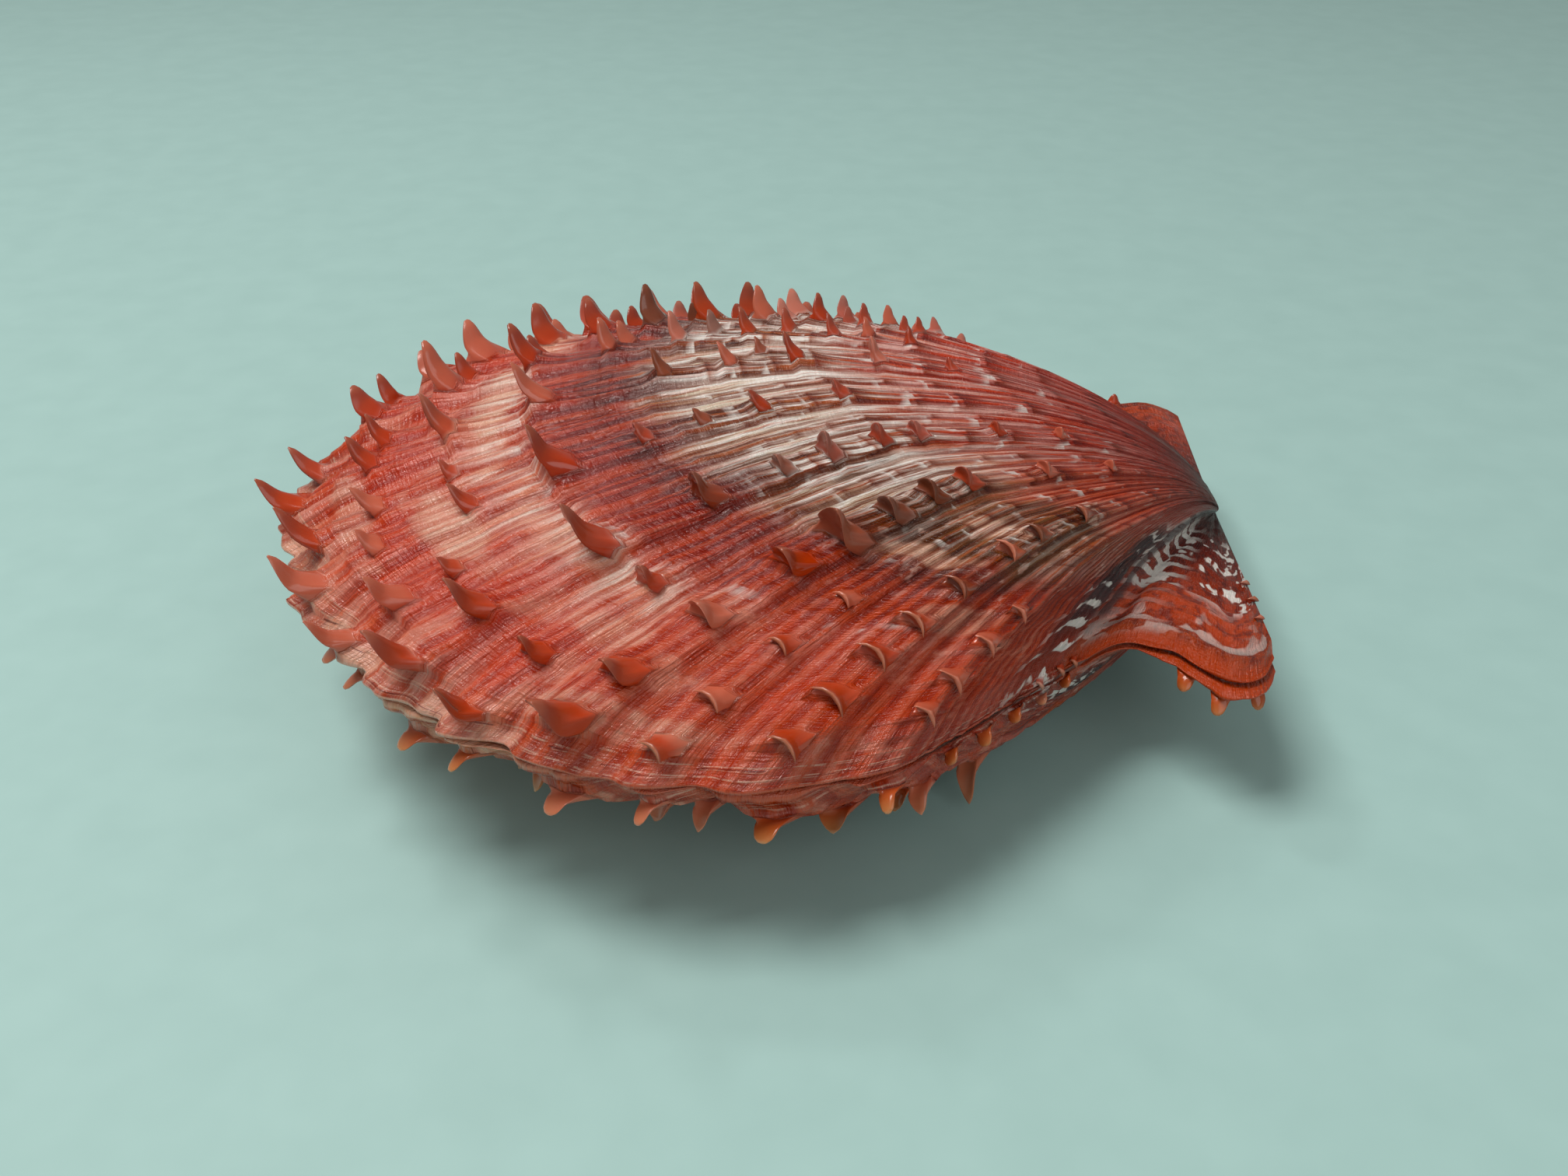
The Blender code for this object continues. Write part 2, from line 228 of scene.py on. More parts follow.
# %% [markdown]
# ## Ribs, riblets and growth checks
#
# Nine broad ribs with ten narrow ones between them run from the beak to the margin, and fine riblets
# cover everything. They could be a bump texture, but their outline shows at the margin and their scales
# catch the light, so they are real relief, added along the normal. In the young half of the shell the
# ribs swing towards the near side. Whenever growth paused, the edge flared up a little and the next
# growth began below it: a check. Between two checks the surface rises slowly, then drops in one step.

# %% Relief of the disc
FIRST_RIB = -38.85
RIB_STEP = 4.85
RIB_COUNT = 19
PRIMARY_HEIGHT = 0.9
SECONDARY_HEIGHT = 0.4
RIBLET_HEIGHT = 0.20
RIBLET_STEP = RIB_STEP / 4
STEP_HEIGHT = 0.30
RIB_SWING = 25.0
SWING_ENDS = 0.5
CHECKS = np.array([0.10, 0.16, 0.22, 0.28, 0.335, 0.405, 0.45, 0.505, 0.545, 0.575, 0.605, 0.66, 0.695,
                   0.775, 0.84, 0.905, 0.96, 1.0])
CHECK_FORCE = np.array([0.1, 0.1, 0.2, 0.4, 0.5, 0.5, 0.5, 0.6, 0.5, 0.6, 0.5, 0.8, 0.3, 1.0, 0.5, 0.35,
                        0.5, 0.2])
CHECK_ARCH = 0.011
CHECK_WANDER = 0.006
LAMELLA_STEP = 0.0125
LAMELLA_HEIGHT = 0.10
LAMELLA_WANDER = 0.004
RIBLET_WANDER = 0.25
WAVE_HEIGHT = 0.07
LUMP_HEIGHT = 0.09
EDGE_LOSS = 0.55

growth_grid, fan_grid = np.meshgrid(stages, fan, indexing="ij")
swing = np.maximum(SWING_ENDS - growth_grid, 0) * RIB_SWING
swing = swing * ease(-46, -22, fan_grid) * (1 - ease(10, 52, fan_grid))
pattern_fan = fan_grid + swing


def rib_form(angle):
    """Height of the rib relief, 0 to 1, whether the rib is a broad one, and its number.

    The height is 1 on a flat crest and eases to 0 down the rounded sides, by the angle from the rib."""
    number = np.clip(np.round((angle - FIRST_RIB) / RIB_STEP), 0, RIB_COUNT - 1)
    away = np.abs(angle - FIRST_RIB - number * RIB_STEP)
    broad = number % 2 == 1
    form = np.where(broad, 1 - ease(0.9, 2.9, away), 1 - ease(0.3, 1.8, away))
    return form, broad, number.astype(int)


rib_grid, broad_grid, number_grid = rib_form(pattern_fan)
check_growth = growth_grid + CHECK_ARCH * rib_grid * np.where(broad_grid, 1.0, 0.4)
check_growth = check_growth + CHECK_WANDER * ripples(pattern_fan * 0.35, growth_grid * 9, 11)
check_number = np.clip(np.searchsorted(CHECKS, check_growth), 1, len(CHECKS) - 1)
check_before = CHECKS[check_number - 1]
scale_grid = np.clip((check_growth - check_before) / (CHECKS[check_number] - check_before), 0, 1)
block_grid = np.random.default_rng(5).random((RIB_COUNT, len(CHECKS)))[number_grid, check_number]
wander_grid = pattern_fan + RIBLET_WANDER * ripples(pattern_fan * 0.12, growth_grid * 16, 3)
riblet_grid = 0.5 + 0.5 * np.cos(2 * math.pi * (wander_grid - FIRST_RIB) / RIBLET_STEP)
lamella_turn = growth_grid + LAMELLA_WANDER * ripples(fan_grid * 0.4, growth_grid, 14)
lamella_turn = lamella_turn / LAMELLA_STEP
lamella_grid = (lamella_turn - np.floor(lamella_turn)) * ease(0.955, 0.98, growth_grid)


def disc_relief():
    """Millimetres to add along the normal.

    ribs + riblets + the rise to each check, which goes with scale^3, + waves and lumps, all lower at the
    margin, where thin layers show instead, each with its edge a little raised."""
    ribs = rib_grid * np.where(broad_grid, PRIMARY_HEIGHT, SECONDARY_HEIGHT) * growth_grid ** 0.7
    ribs = ribs * ease(0.02, 0.36, growth_grid)
    strength = 0.75 + 0.35 * ripples(pattern_fan * 0.5, growth_grid * 5, 8)
    riblets = RIBLET_HEIGHT * riblet_grid ** 1.4 * strength * growth_grid ** 0.6
    rise = STEP_HEIGHT * CHECK_FORCE[check_number] * scale_grid ** 3 * (0.35 + 0.65 * rib_grid) * growth_grid
    waves = WAVE_HEIGHT * ripples(pattern_fan * 0.4, growth_grid * 22, 21) * growth_grid
    lumps = ripples(pattern_fan * 0.9, growth_grid * 55, 22) * ease(0.4, 0.8, growth_grid)
    waves = waves + LUMP_HEIGHT * lumps
    whole = (ribs + riblets + rise + waves) * (1 - EDGE_LOSS * ease(EDGE_ZONE + 0.02, 1.0, growth_grid))
    return whole + LAMELLA_HEIGHT * lamella_grid


print(RIB_COUNT, "ribs and", len(CHECKS), "growth checks")

# %% [markdown]
# ## Ears and flanks
#
# Each ear is a thin, nearly flat wing. On the real shell a sharp groove parts it from the disc, its
# growth lines stand up as curved ridges that run out to the notch, and its outer part is one raised
# band. These follow the growth lines too, so they are relief on the same grid, faded in as `share`
# falls from 1 to 0.

# %% Relief of the ears
NEAR_GROOVE = -54.3
FAR_GROOVE = 63.0
GROOVE_DEPTH = 0.30
GROOVE_REACH = 1.3
EAR_RIDGE_STEP = 0.071
EAR_RIDGE_HEIGHT = 0.16
EAR_BAND = (0.70, 0.86)
EAR_BAND_HEIGHT = 0.32
EAR_LUMPS = 0.12
HINGE_FADE = 4.0


def ear_relief():
    """Millimetres to add: curved ridges at even growth steps, one raised band and soft lumps."""
    wander = growth_grid + 0.008 * ripples(fan_grid * 0.5, growth_grid * 12, 31)
    ridge = (0.5 + 0.5 * np.cos(2 * math.pi * wander / EAR_RIDGE_STEP)) ** 3
    band = ease(EAR_BAND[0] - 0.02, EAR_BAND[0] + 0.02, wander)
    band = band * (1 - ease(EAR_BAND[1] - 0.02, EAR_BAND[1] + 0.03, wander))
    lumps = EAR_LUMPS * ripples(fan_grid * 0.9, growth_grid * 30, 33)
    return (EAR_RIDGE_HEIGHT * ridge + EAR_BAND_HEIGHT * band + lumps) * growth_grid ** 0.5


away_from_groove = np.minimum(np.abs(fan_grid - NEAR_GROOVE), np.abs(fan_grid - FAR_GROOVE))
groove_grid = GROOVE_DEPTH * np.exp(-(away_from_groove / GROOVE_REACH) ** 2) * growth_grid
off_hinge = ease(0.0, HINGE_FADE, fan_grid - NEAR_HINGE_FAN)
off_hinge = off_hinge * ease(0.0, HINGE_FADE, FAR_HINGE_FAN - fan_grid)
on_disc = ease(0.35, 1.0, share)[None, :]
relief_grid = (disc_relief() * on_disc + ear_relief() * (1 - on_disc) - groove_grid) * off_hinge
print("relief from", round(float(relief_grid.min()), 2), "to", round(float(relief_grid.max()), 2), "mm")

# %% [markdown]
# ## Spines
#
# At each check a broad rib threw its edge up into a spine: a scale rolled into a thorn, rounded towards
# the beak and hollow towards the margin. Cones stuck on the surface would show a seam and no hollow, so
# each spine grows out of the grid: a small rectangle of faces on the rib is left out, and rings run
# from its edge into crescent-shaped sections along a curve that rises from the shell. The lists are
# read off the real object rib by rib: growth stage, length and half width in millimetres.

# %% Spine lists
UPPER_SPINES = {
    -38.85: ((0.72, 1.0, 0.8), (0.80, 1.2, 1.0), (0.863, 1.3, 1.2), (0.93, 1.3, 1.0)),
    -34.0: ((0.463, 1.3, 0.8), (0.545, 1.3, 0.9), (0.60, 1.5, 1.0), (0.693, 1.5, 1.1), (0.76, 1.4, 1.2),
            (0.82, 1.5, 1.3), (0.885, 1.6, 1.4), (0.955, 1.8, 1.2)),
    -29.15: ((0.74, 1.1, 0.8), (0.822, 1.3, 0.9), (0.90, 1.4, 1.1), (0.97, 1.9, 1.0)),
    -24.3: ((0.33, 0.7, 0.5), (0.42, 0.9, 0.7), (0.511, 1.3, 0.9), (0.558, 1.4, 1.0), (0.600, 1.6, 1.1),
            (0.660, 2.8, 1.6), (0.724, 1.9, 1.2), (0.812, 1.8, 1.2), (0.901, 2.3, 1.2), (0.965, 3.4, 1.5)),
    -19.45: ((0.795, 1.8, 0.9), (0.911, 2.1, 0.9), (0.978, 3.2, 1.2)),
    -14.6: ((0.335, 0.7, 0.5), (0.405, 0.8, 0.6), (0.476, 1.1, 0.8), (0.514, 1.3, 0.8), (0.569, 1.7, 0.9),
            (0.612, 1.2, 0.8), (0.691, 2.2, 1.1), (0.787, 4.1, 1.3), (0.903, 3.1, 1.2), (0.968, 3.5, 1.3)),
    -9.75: ((0.885, 1.3, 0.8), (0.945, 2.5, 1.1), (0.995, 2.8, 0.9)),
    -4.9: ((0.50, 1.1, 0.7), (0.579, 1.3, 0.8), (0.63, 1.0, 0.7), (0.681, 1.2, 0.8), (0.769, 3.2, 1.2),
           (0.843, 1.9, 1.0), (0.925, 1.6, 0.9), (0.985, 3.3, 1.2)),
    -0.05: ((0.84, 1.2, 0.7), (0.911, 2.1, 0.9), (0.967, 3.4, 1.1)),
    4.8: ((0.37, 0.8, 0.5), (0.440, 1.7, 0.7), (0.515, 2.6, 0.9), (0.579, 1.5, 0.8), (0.640, 1.7, 0.8),
          (0.754, 2.9, 1.1), (0.833, 3.1, 1.2), (0.91, 2.4, 1.0), (0.985, 3.0, 1.1)),
    9.65: ((0.55, 1.0, 0.6), (0.86, 1.6, 0.8), (0.908, 2.2, 0.9), (0.974, 2.8, 1.0)),
    14.5: ((0.40, 1.1, 0.6), (0.48, 1.5, 0.7), (0.56, 1.8, 0.8), (0.63, 2.0, 0.9), (0.70, 2.2, 1.0),
           (0.774, 3.0, 1.1), (0.868, 3.4, 1.3), (0.95, 2.4, 1.2)),
    19.35: ((0.45, 1.2, 0.7), (0.535, 1.5, 0.8), (0.61, 1.6, 0.8), (0.70, 1.8, 0.9), (0.80, 1.9, 0.9),
            (0.87, 2.2, 0.9), (0.957, 2.6, 1.0)),
    24.2: ((0.40, 1.1, 0.7), (0.46, 1.5, 0.8), (0.52, 1.8, 0.9), (0.58, 2.2, 1.1), (0.64, 2.6, 1.1),
           (0.70, 2.9, 1.2), (0.76, 2.5, 1.2), (0.82, 3.1, 1.3), (0.906, 2.9, 1.4), (0.965, 2.1, 1.2)),
    29.05: ((0.43, 1.2, 0.7), (0.50, 1.4, 0.8), (0.58, 1.6, 0.8), (0.68, 1.6, 0.9), (0.76, 1.8, 0.9),
            (0.85, 2.1, 1.0), (0.91, 2.0, 1.0), (0.96, 2.4, 1.0)),
    33.9: ((0.42, 1.1, 0.7), (0.48, 1.5, 0.8), (0.54, 1.8, 0.9), (0.60, 2.1, 1.1), (0.66, 2.6, 1.2),
           (0.72, 2.6, 1.2), (0.79, 2.8, 1.3), (0.87, 2.9, 1.4), (0.95, 2.8, 1.3)),
    38.75: ((0.56, 1.3, 0.8), (0.65, 1.5, 0.9), (0.74, 1.7, 1.0), (0.83, 2.0, 1.0), (0.94, 2.3, 1.1)),
    43.6: ((0.46, 1.1, 0.7), (0.54, 1.4, 0.8), (0.62, 1.7, 0.9), (0.72, 2.1, 1.1), (0.82, 2.4, 1.2),
           (0.92, 2.5, 1.2)),
    48.45: ((0.58, 1.1, 0.7), (0.70, 1.3, 0.8), (0.84, 1.8, 0.9), (0.93, 1.8, 0.9)),
}
# small teeth on the edge of the near flank, of the hinge and of the far ear
UPPER_EDGE_TEETH = {-50.5: ((0.985, 0.7, 0.45),), -52.5: ((0.985, 0.7, 0.45),), -54.3: ((0.985, 0.6, 0.4),),
                    -71.2: ((0.55, 0.6, 0.4), (0.66, 0.7, 0.45), (0.78, 0.6, 0.4)),
                    67.0: ((0.97, 0.8, 0.5),), 70.0: ((0.97, 0.9, 0.5),), 73.0: ((0.97, 0.8, 0.5),),
                    76.5: ((0.97, 0.9, 0.5),)}
UPPER_SPINES.update(UPPER_EDGE_TEETH)
print(sum(len(row) for row in UPPER_SPINES.values()), "spines on the upper valve")

# %% [markdown]
# The lower valve rests on its belly and on one row of longer spines. Its newest spines stick out
# under the seam on the near side as flat orange tongues. Its other ribs hardly show, so their spines
# come from a rule: four on a broad rib, two on a narrow one, longer towards the margin.

# %% Spines of the lower valve
BROAD_STATIONS = (0.60, 0.75, 0.86, 0.972)
NARROW_STATIONS = (0.90, 0.985)
FOOT_STAGE = BROAD_STATIONS[0]
LOWEST_RIB = 6.5


def spine_row(rib, broad):
    """The spines of one lower rib: length 1 + 0.9 stage^2, and 1.8 to 3.1 mm in the row that it stands on.

    Those feet grow with the square of the distance from the lowest rib, as the belly curves up there."""
    row = [(station, 1.0 + 0.9 * station ** 2, 0.75 + 0.45 * station * broad)
           for station in (BROAD_STATIONS if broad else NARROW_STATIONS)]
    if broad:
        row[0] = (FOOT_STAGE, 1.8 + min(1.3 * ((rib - LOWEST_RIB) / 22.0) ** 2, 1.3), 0.9)
    return row


LOWER_RIBS = [round(FIRST_RIB + RIB_STEP * number, 2) for number in range(RIB_COUNT)]
LOWER_SPINES = {rib: spine_row(rib, number % 2 == 1) for number, rib in enumerate(LOWER_RIBS)}
NEAR_TEETH = {-42.5: ((0.985, 1.2, 0.8),), -45.5: ((0.985, 1.3, 0.8),), -48.5: ((0.985, 1.1, 0.7),),
              -51.0: ((0.985, 1.0, 0.6),), -53.5: ((0.985, 0.9, 0.6),)}
EAR_TEETH = {-64.0: ((0.975, 1.3, 0.7),), -66.5: ((0.975, 1.5, 0.7),), -69.0: ((0.97, 1.2, 0.6),)}
LOWER_SPINES.update(NEAR_TEETH)
LOWER_SPINES.update(EAR_TEETH)
print(sum(len(row) for row in LOWER_SPINES.values()), "spines on the lower valve")

# %% [markdown]
# A spine's middle line leaves the shell slanting and turns up: its rise at the share t of its length
# goes from the first to the second angle of its form in `FORMS`. Across it, a section is a crescent:
# with w the half width there and x from -w to w, the back is arch * (1 - x^2/w^2) and the hollow front
# is the same curve less the thickness. The shell carries four forms: thorns in the middle, low open
# hoods on the near side, blunt pegs on the far side and flat tongues below the seam.

# %% One spine
FORMS = {  # first and last rise in degrees, arch in half widths, start in feet, size against the list
    "thorn": (48.0, 92.0, 0.78, 0.45, 1.0),
    "hood": (14.0, 36.0, 0.60, 0.0, 0.72),
    "tongue": (30.0, 62.0, 0.35, 0.45, 0.82),
    "peg": (56.0, 95.0, 0.85, 0.45, 1.0),
}
EDGE_THICKNESS = 0.06
HOOD_THICKNESS = 0.12
TILT_SPREAD = math.radians(7.0)
SWAY_SPREAD = math.radians(9.0)


def horn_width(form, half_width, t, power):
    """Half width along a spine, with w its half width at the foot and p the power, drawn for each spine.

    Hood: w (0.9 + 0.2 t), so it stays open. Tongue: w (1 - 0.4 t) (1 - (0.97 t)^9)^0.5, nearly square.
    Peg: 1.12 w (1 - 0.5 t) (1 - (0.97 t)^(p + 3))^0.5, blunt. Thorn: 0.92 w (1 - (0.985 t)^p)^0.62."""
    if form == "hood":
        return half_width * (0.9 + 0.2 * t)
    if form == "tongue":
        return half_width * (1 - 0.40 * t) * np.maximum(1 - (t * 0.97) ** 9, 0.0) ** 0.5
    if form == "peg":
        return 1.12 * half_width * (1 - 0.5 * t) * np.maximum(1 - (t * 0.97) ** (power + 3.0), 0.0) ** 0.5
    return 0.92 * half_width * np.maximum(1 - (t * 0.985) ** power, 0.0) ** 0.62


def horn(edge, normal, along, length, half_width, form, rings, draw):
    """Rings of points from the rectangle's edge to the tip, the tip itself and the rings' shares t.

    Early rings blend from the rectangle's edge to the crescent sections, which stand square to the
    middle line. A crescent is 0.09 + 0.32 * half width thick, or 0.85 * arch + 0.05 where that is less,
    and a hood is evenly thin. Each spine tilts and sways a little of its own."""
    tilt = draw.uniform(-TILT_SPREAD, TILT_SPREAD)
    sway = draw.uniform(-SWAY_SPREAD, SWAY_SPREAD)
    power = draw.uniform(1.3, 2.3)
    low, high, arched, start_share, _ = FORMS[form]
    middle = edge.mean(axis=0)
    across = np.cross(normal, along)
    across /= np.linalg.norm(across)
    offset = edge - middle
    u = offset @ across
    v = offset @ along
    angle = np.arctan2(v / max(abs(v).max(), 1e-6), u / max(abs(u).max(), 1e-6))
    start = middle + along * v.max() * start_share
    t = np.linspace(0, 1, rings + 1)[1:]
    rise = np.radians(low + (high - low) * ease(0.0, 0.8, t)) + tilt
    heading = along * math.cos(sway) + across * math.sin(sway)
    steps = np.diff(np.concatenate([[0.0], t])) * length
    way = np.cos(rise)[:, None] * heading + np.sin(rise)[:, None] * normal
    line = start + np.cumsum(way * steps[:, None], axis=0)
    back = -np.sin(rise)[:, None] * heading + np.cos(rise)[:, None] * normal
    width = horn_width(form, half_width, t, power)
    side = np.cos(angle)
    dorsal = -np.sin(angle)
    arch = arched * width
    thick = np.minimum(0.09 + 0.32 * width, 0.85 * arch + 0.05)
    if form == "hood":
        thick = np.full(rings, HOOD_THICKNESS)
    depth = arch[:, None] * (1 - side ** 2) - thick[:, None] * (1 - side ** 2) * (dorsal < 0)
    depth = depth + EDGE_THICKNESS * dorsal * np.minimum(1.0, width / 0.2)[:, None]
    section = line[:, None, :] + width[:, None, None] * side[None, :, None] * across
    section = section + depth[..., None] * back[:, None, :]
    blend = ease(-0.05, 0.42, t)[:, None, None]
    foot = edge[None] + (line - start)[:, None, :] * 0.55
    ring_points = foot * (1 - blend) + section * blend
    tip = line[-1] + (line[-1] - line[-2]) * 0.25 + back[-1] * arch[-1] * 0.5
    return ring_points, tip, t


# %% [markdown]
# ## Putting a valve together
#
# A valve is closed like the real one: the outer grid, a rounded rim, the flat meeting face with the
# hollow behind it, and a thin wall along the hinge. Where the broad ribs reach the margin the edge is
# fluted, and the two valves' edges follow the same wave, so they meet in a wavy line.

# %% The outside of a valve
MARGIN_THINNING = 0.85
LOWEST_EDGE = 0.12
SWELL_SHARE = 0.24
SWELL_REACH = 0.02
FLUTE = 0.010
LOWER_SET_BACK = 0.012
EAR_LIP = 0.045


def ramp_to_spine(relief, rib, station, length, half_width):
    """The rib swells towards a spine: length * share * e^(-distance / reach), nothing past the check.

    Across the rib the swelling is a bell, e^(-(angle / width)^2)."""
    before = station - growth_grid
    width = half_width * 1.3 / np.maximum(growth_grid, 0.2)
    bell = np.exp(-((pattern_fan - rib) / width) ** 2)
    swell = SWELL_SHARE * length * np.exp(-np.maximum(before, 0) / SWELL_REACH) * (before > -0.002)
    return relief + swell * bell * on_disc


def outside(turn, spines, flip, seed):
    """The grown surface plus its relief, raised by the shell's thickness, and its two directions.

    Towards the margin the shell thins, and its outline moves out and in by a small share: on the ribs
    it flutes, small ripples fray it, and the lower valve's disc stands back while its near ear juts."""
    base = grown(stages, turn)
    normal, along = directions(base)
    relief = relief_grid.copy()
    for rib, row in spines.items():
        for station, length, half_width in row:
            relief = ramp_to_spine(relief, rib, station, length, half_width)
    outer = base + normal * relief[..., None]
    thickness = MARGIN_THICKNESS * (0.5 + 0.5 * growth_grid)
    thickness = thickness * (1 - MARGIN_THINNING * ease(EDGE_ZONE, 1.0, growth_grid))
    outer[..., 2] = np.maximum(np.maximum(outer[..., 2], 0) + thickness, MEETING_GAP / 2 + LOWEST_EDGE)
    flare = 1 + FLUTE * (rib_grid - 0.6) * ease(0.93, 1.0, growth_grid) * on_disc
    flare = flare + 0.005 * ripples(fan_grid * 1.3, growth_grid, seed) * ease(0.95, 1.0, growth_grid)
    flare = flare + 0.003 * ripples(fan_grid * 4.0, growth_grid, seed + 5) * ease(0.97, 1.0, growth_grid)
    if flip:
        flare = flare - LOWER_SET_BACK * ease(0.90, 1.0, growth_grid) * on_disc
        flare = flare + EAR_LIP * ease(-60.0, -65.0, fan_grid) * ease(0.86, 0.97, growth_grid)
    outer[..., :2] *= flare[..., None]
    return outer, normal, along


# %% The rim and the hollow
INNER_STAGES = np.linspace(0.975, 0.06, 11)
SEAM_WAVE = 0.22
RIM_REACH = 0.10
RIM_DROPS = (0.45, 0.85)


def rim_and_hollow(edge, turn, flip):
    """Rows that close the valve below its edge: a rounded rim, then the meeting face and the hollow.

    The seam's height is half the gap plus or minus a wave that rises at the broad ribs. The hollow is
    the grown surface less the wall, on the disc only, and the meeting face is flat elsewhere."""
    wave = SEAM_WAVE * (rib_grid[-1] * broad_grid[-1] - 0.4) * ease(0.8, 1.0, share)
    seam = MEETING_GAP / 2 + (-wave if flip else wave)
    out = edge[:, :2] / np.linalg.norm(edge[:, :2], axis=1, keepdims=True)
    rim = []
    for drop in RIM_DROPS:
        bulge = RIM_REACH * (0.6 - drop)
        level = edge[:, 2] * (1 - drop) + seam * drop
        rim.append(np.concatenate([edge[:, :2] + out * bulge, level[:, None]], axis=1))
    rim = np.array(rim)
    rim[:, [0, -1], 0] = 0.0
    inner = grown(INNER_STAGES, turn)
    hollow = inner[..., 2] - WALL * ease(0.0, 0.3, 1 - INNER_STAGES)[:, None] - 0.4
    fade = ease(0.85, 1.0, INNER_STAGES)[:, None]
    lip = MEETING_GAP / 2 + (seam - MEETING_GAP / 2)[None] * fade
    inner[..., :2] = INNER_STAGES[:, None, None] * place[None] * SHELL_LENGTH
    inner[..., 2] = np.maximum(hollow * (share[None] > 0.9), lip)
    return np.concatenate([rim, inner])


# %% Where the spines stand
HOODS_BEYOND = -27.0
PEGS_BEYOND = 12.0
TONGUE_STAGE = 0.95


def spine_patch(outer, rib, station, half_width, taken):
    """Rows and columns of the grid that a spine's foot covers, or None where another one stands."""
    row = int(np.clip(np.searchsorted(stages, station), 3, len(stages) - 1))
    column = int(np.abs(pattern_fan[row] - rib).argmin())
    column = int(np.clip(column, 3, len(fan) - 4))
    pace = np.linalg.norm(outer[row, column + 1] - outer[row, column - 1]) / 2
    half = int(np.clip(round(half_width / pace), 1, 9))
    stride = np.linalg.norm(outer[row, column] - outer[row - 1, column])
    rows = int(np.clip(round(1.5 * half_width / stride), 2, 6))
    top, left = row - rows, max(column - half, 1)
    right = min(column + half, len(fan) - 2)
    if taken[top:row, left:right].any():
        return None
    taken[top:row, left:right] = True
    return top, row, left, right


def spine_form(rib, station, flip):
    """The form of a spine: by its side on the upper valve, by its stage on the lower."""
    if flip:
        return "tongue" if station > TONGUE_STAGE else "thorn"
    return "hood" if rib < HOODS_BEYOND else "peg" if rib > PEGS_BEYOND else "thorn"


def standing_spines(outer, spines, flip):
    """The spines that find room, as patch, form, length and half width, and the faces they take."""
    taken = np.zeros((outer.shape[0] - 1, outer.shape[1] - 1), bool)
    standing = []
    for rib, row in spines.items():
        for station, length, half_width in row:
            patch = spine_patch(outer, rib, station, half_width, taken)
            if patch is not None:
                form = spine_form(rib, station, flip)
                size = FORMS[form][-1]
                standing.append((patch, form, length * size, half_width * size))
    return standing, taken


# %% Fitting one spine
# lowest and highest place for a spine: just off the floor, and just above the top of the solids
CLEARANCE = 0.02
CEILING = 22.95
SHORTENING = 0.85
SHORTENINGS = 12
THORN_TINT = 0.7
HOOD_TINT = 0.35
# a hood's rim is lightened: partly its pale rim, partly a painted highlight along it
HOOD_RIM_PALE_AND_HIGHLIGHT = 0.9


def fitted_horn(edge, normal, along, length, half_width, form, draw, mirror):
    """A horn, made shorter by steps until it clears the floor and stays under the ceiling.

    Short horns have fewer rings than long ones."""
    rings = 6 if length < 1.2 else 8 if length < 2.4 else 10
    for _ in range(SHORTENINGS):
        ring_points, tip, t = horn(edge, normal, along, length, half_width, form, rings, draw)
        heights = lie_at_rest(np.concatenate([ring_points.reshape(-1, 3), tip[None]]) * mirror)[:, 2]
        if heights.min() > CLEARANCE and heights.max() < CEILING:
            break
        length *= SHORTENING
    return ring_points, tip, t, length


def spine_tint(form, t, length):
    """How far each ring and the tip take the spine's colours: t times a reach, longer spines more.
    A hood's rim goes towards the pale end: partly its pale rim, partly a painted highlight along it.
    """
    reach = HOOD_TINT if form == "hood" else THORN_TINT * min(1.0, 0.35 + length / 3.0)
    tint = t * reach
    if form == "hood":
        # the rim ring is lightened, partly as its pale colour and partly as a painted highlight
        tint[-1] = HOOD_RIM_PALE_AND_HIGHLIGHT
    return tint, reach


def spine_end(form, ring, wide, tall, tip_index):
    """Faces that close the last ring: a strip and two small caps across a hood, a fan to any other tip."""
    if form != "hood":
        return [], np.stack([ring, np.roll(ring, -1), np.full(len(ring), tip_index)], axis=1), []
    over, under = ring[:wide + 1], ring[wide + tall:2 * wide + tall + 1][::-1]
    strip = np.stack([over[:-1], over[1:], under[1:], under[:-1]], axis=1)
    caps = [ring[wide:wide + tall + 1].tolist(), np.append(ring[2 * wide + tall:], ring[0]).tolist()]
    return [strip], np.empty((0, 3), int), caps


# %% Growing the spines
def grow_spines(shell, index, standing, normal, along, mirror, draw):
    """Points, faces and tints of a shell with all its spines, as lists, and the number of points.

    A spine's first ring is the edge of the rectangle left out of the grid, so both share its points. For
    its colours a spine borrows the grid point behind its foot."""
    made = {"points": [shell], "borrowed": [np.arange(len(shell))], "tint": [np.zeros(len(shell))],
            "quads": [], "triangles": [], "caps": []}
    count = len(shell)
    for (top, bottom, left, right), form, length, half_width in standing:
        loop = np.concatenate([index[top, left:right], index[top:bottom, right],
                               index[bottom, right:left:-1], index[bottom:top:-1, left]])
        centre = (top + bottom) // 2, (left + right) // 2
        ring_points, tip, t, length = fitted_horn(shell[loop], normal[centre], along[centre], length,
                                                  half_width, form, draw, mirror)
        new_rings = count + np.arange(len(t) * len(loop)).reshape(len(t), len(loop))
        ring = np.concatenate([loop[None], new_rings])
        after = np.roll(ring, -1, axis=1)
        sides = np.stack([ring[:-1], after[:-1], after[1:], ring[1:]], axis=2).reshape(-1, 4)
        tips = np.empty((0, 3)) if form == "hood" else tip[None]
        strip, cone, caps = spine_end(form, ring[-1], right - left, bottom - top, count + new_rings.size)
        tint, reach = spine_tint(form, t, length)
        home = index[max(top - 1, 0), (left + right) // 2]
        made["points"] += [ring_points.reshape(-1, 3), tips]
        made["borrowed"].append(np.full(new_rings.size + len(tips), home))
        made["tint"] += [np.repeat(tint, len(loop)), np.full(len(tips), reach)]
        made["quads"] += [sides] + strip
        made["triangles"].append(cone)
        made["caps"] += caps
        count += new_rings.size + len(tips)
    return made, count


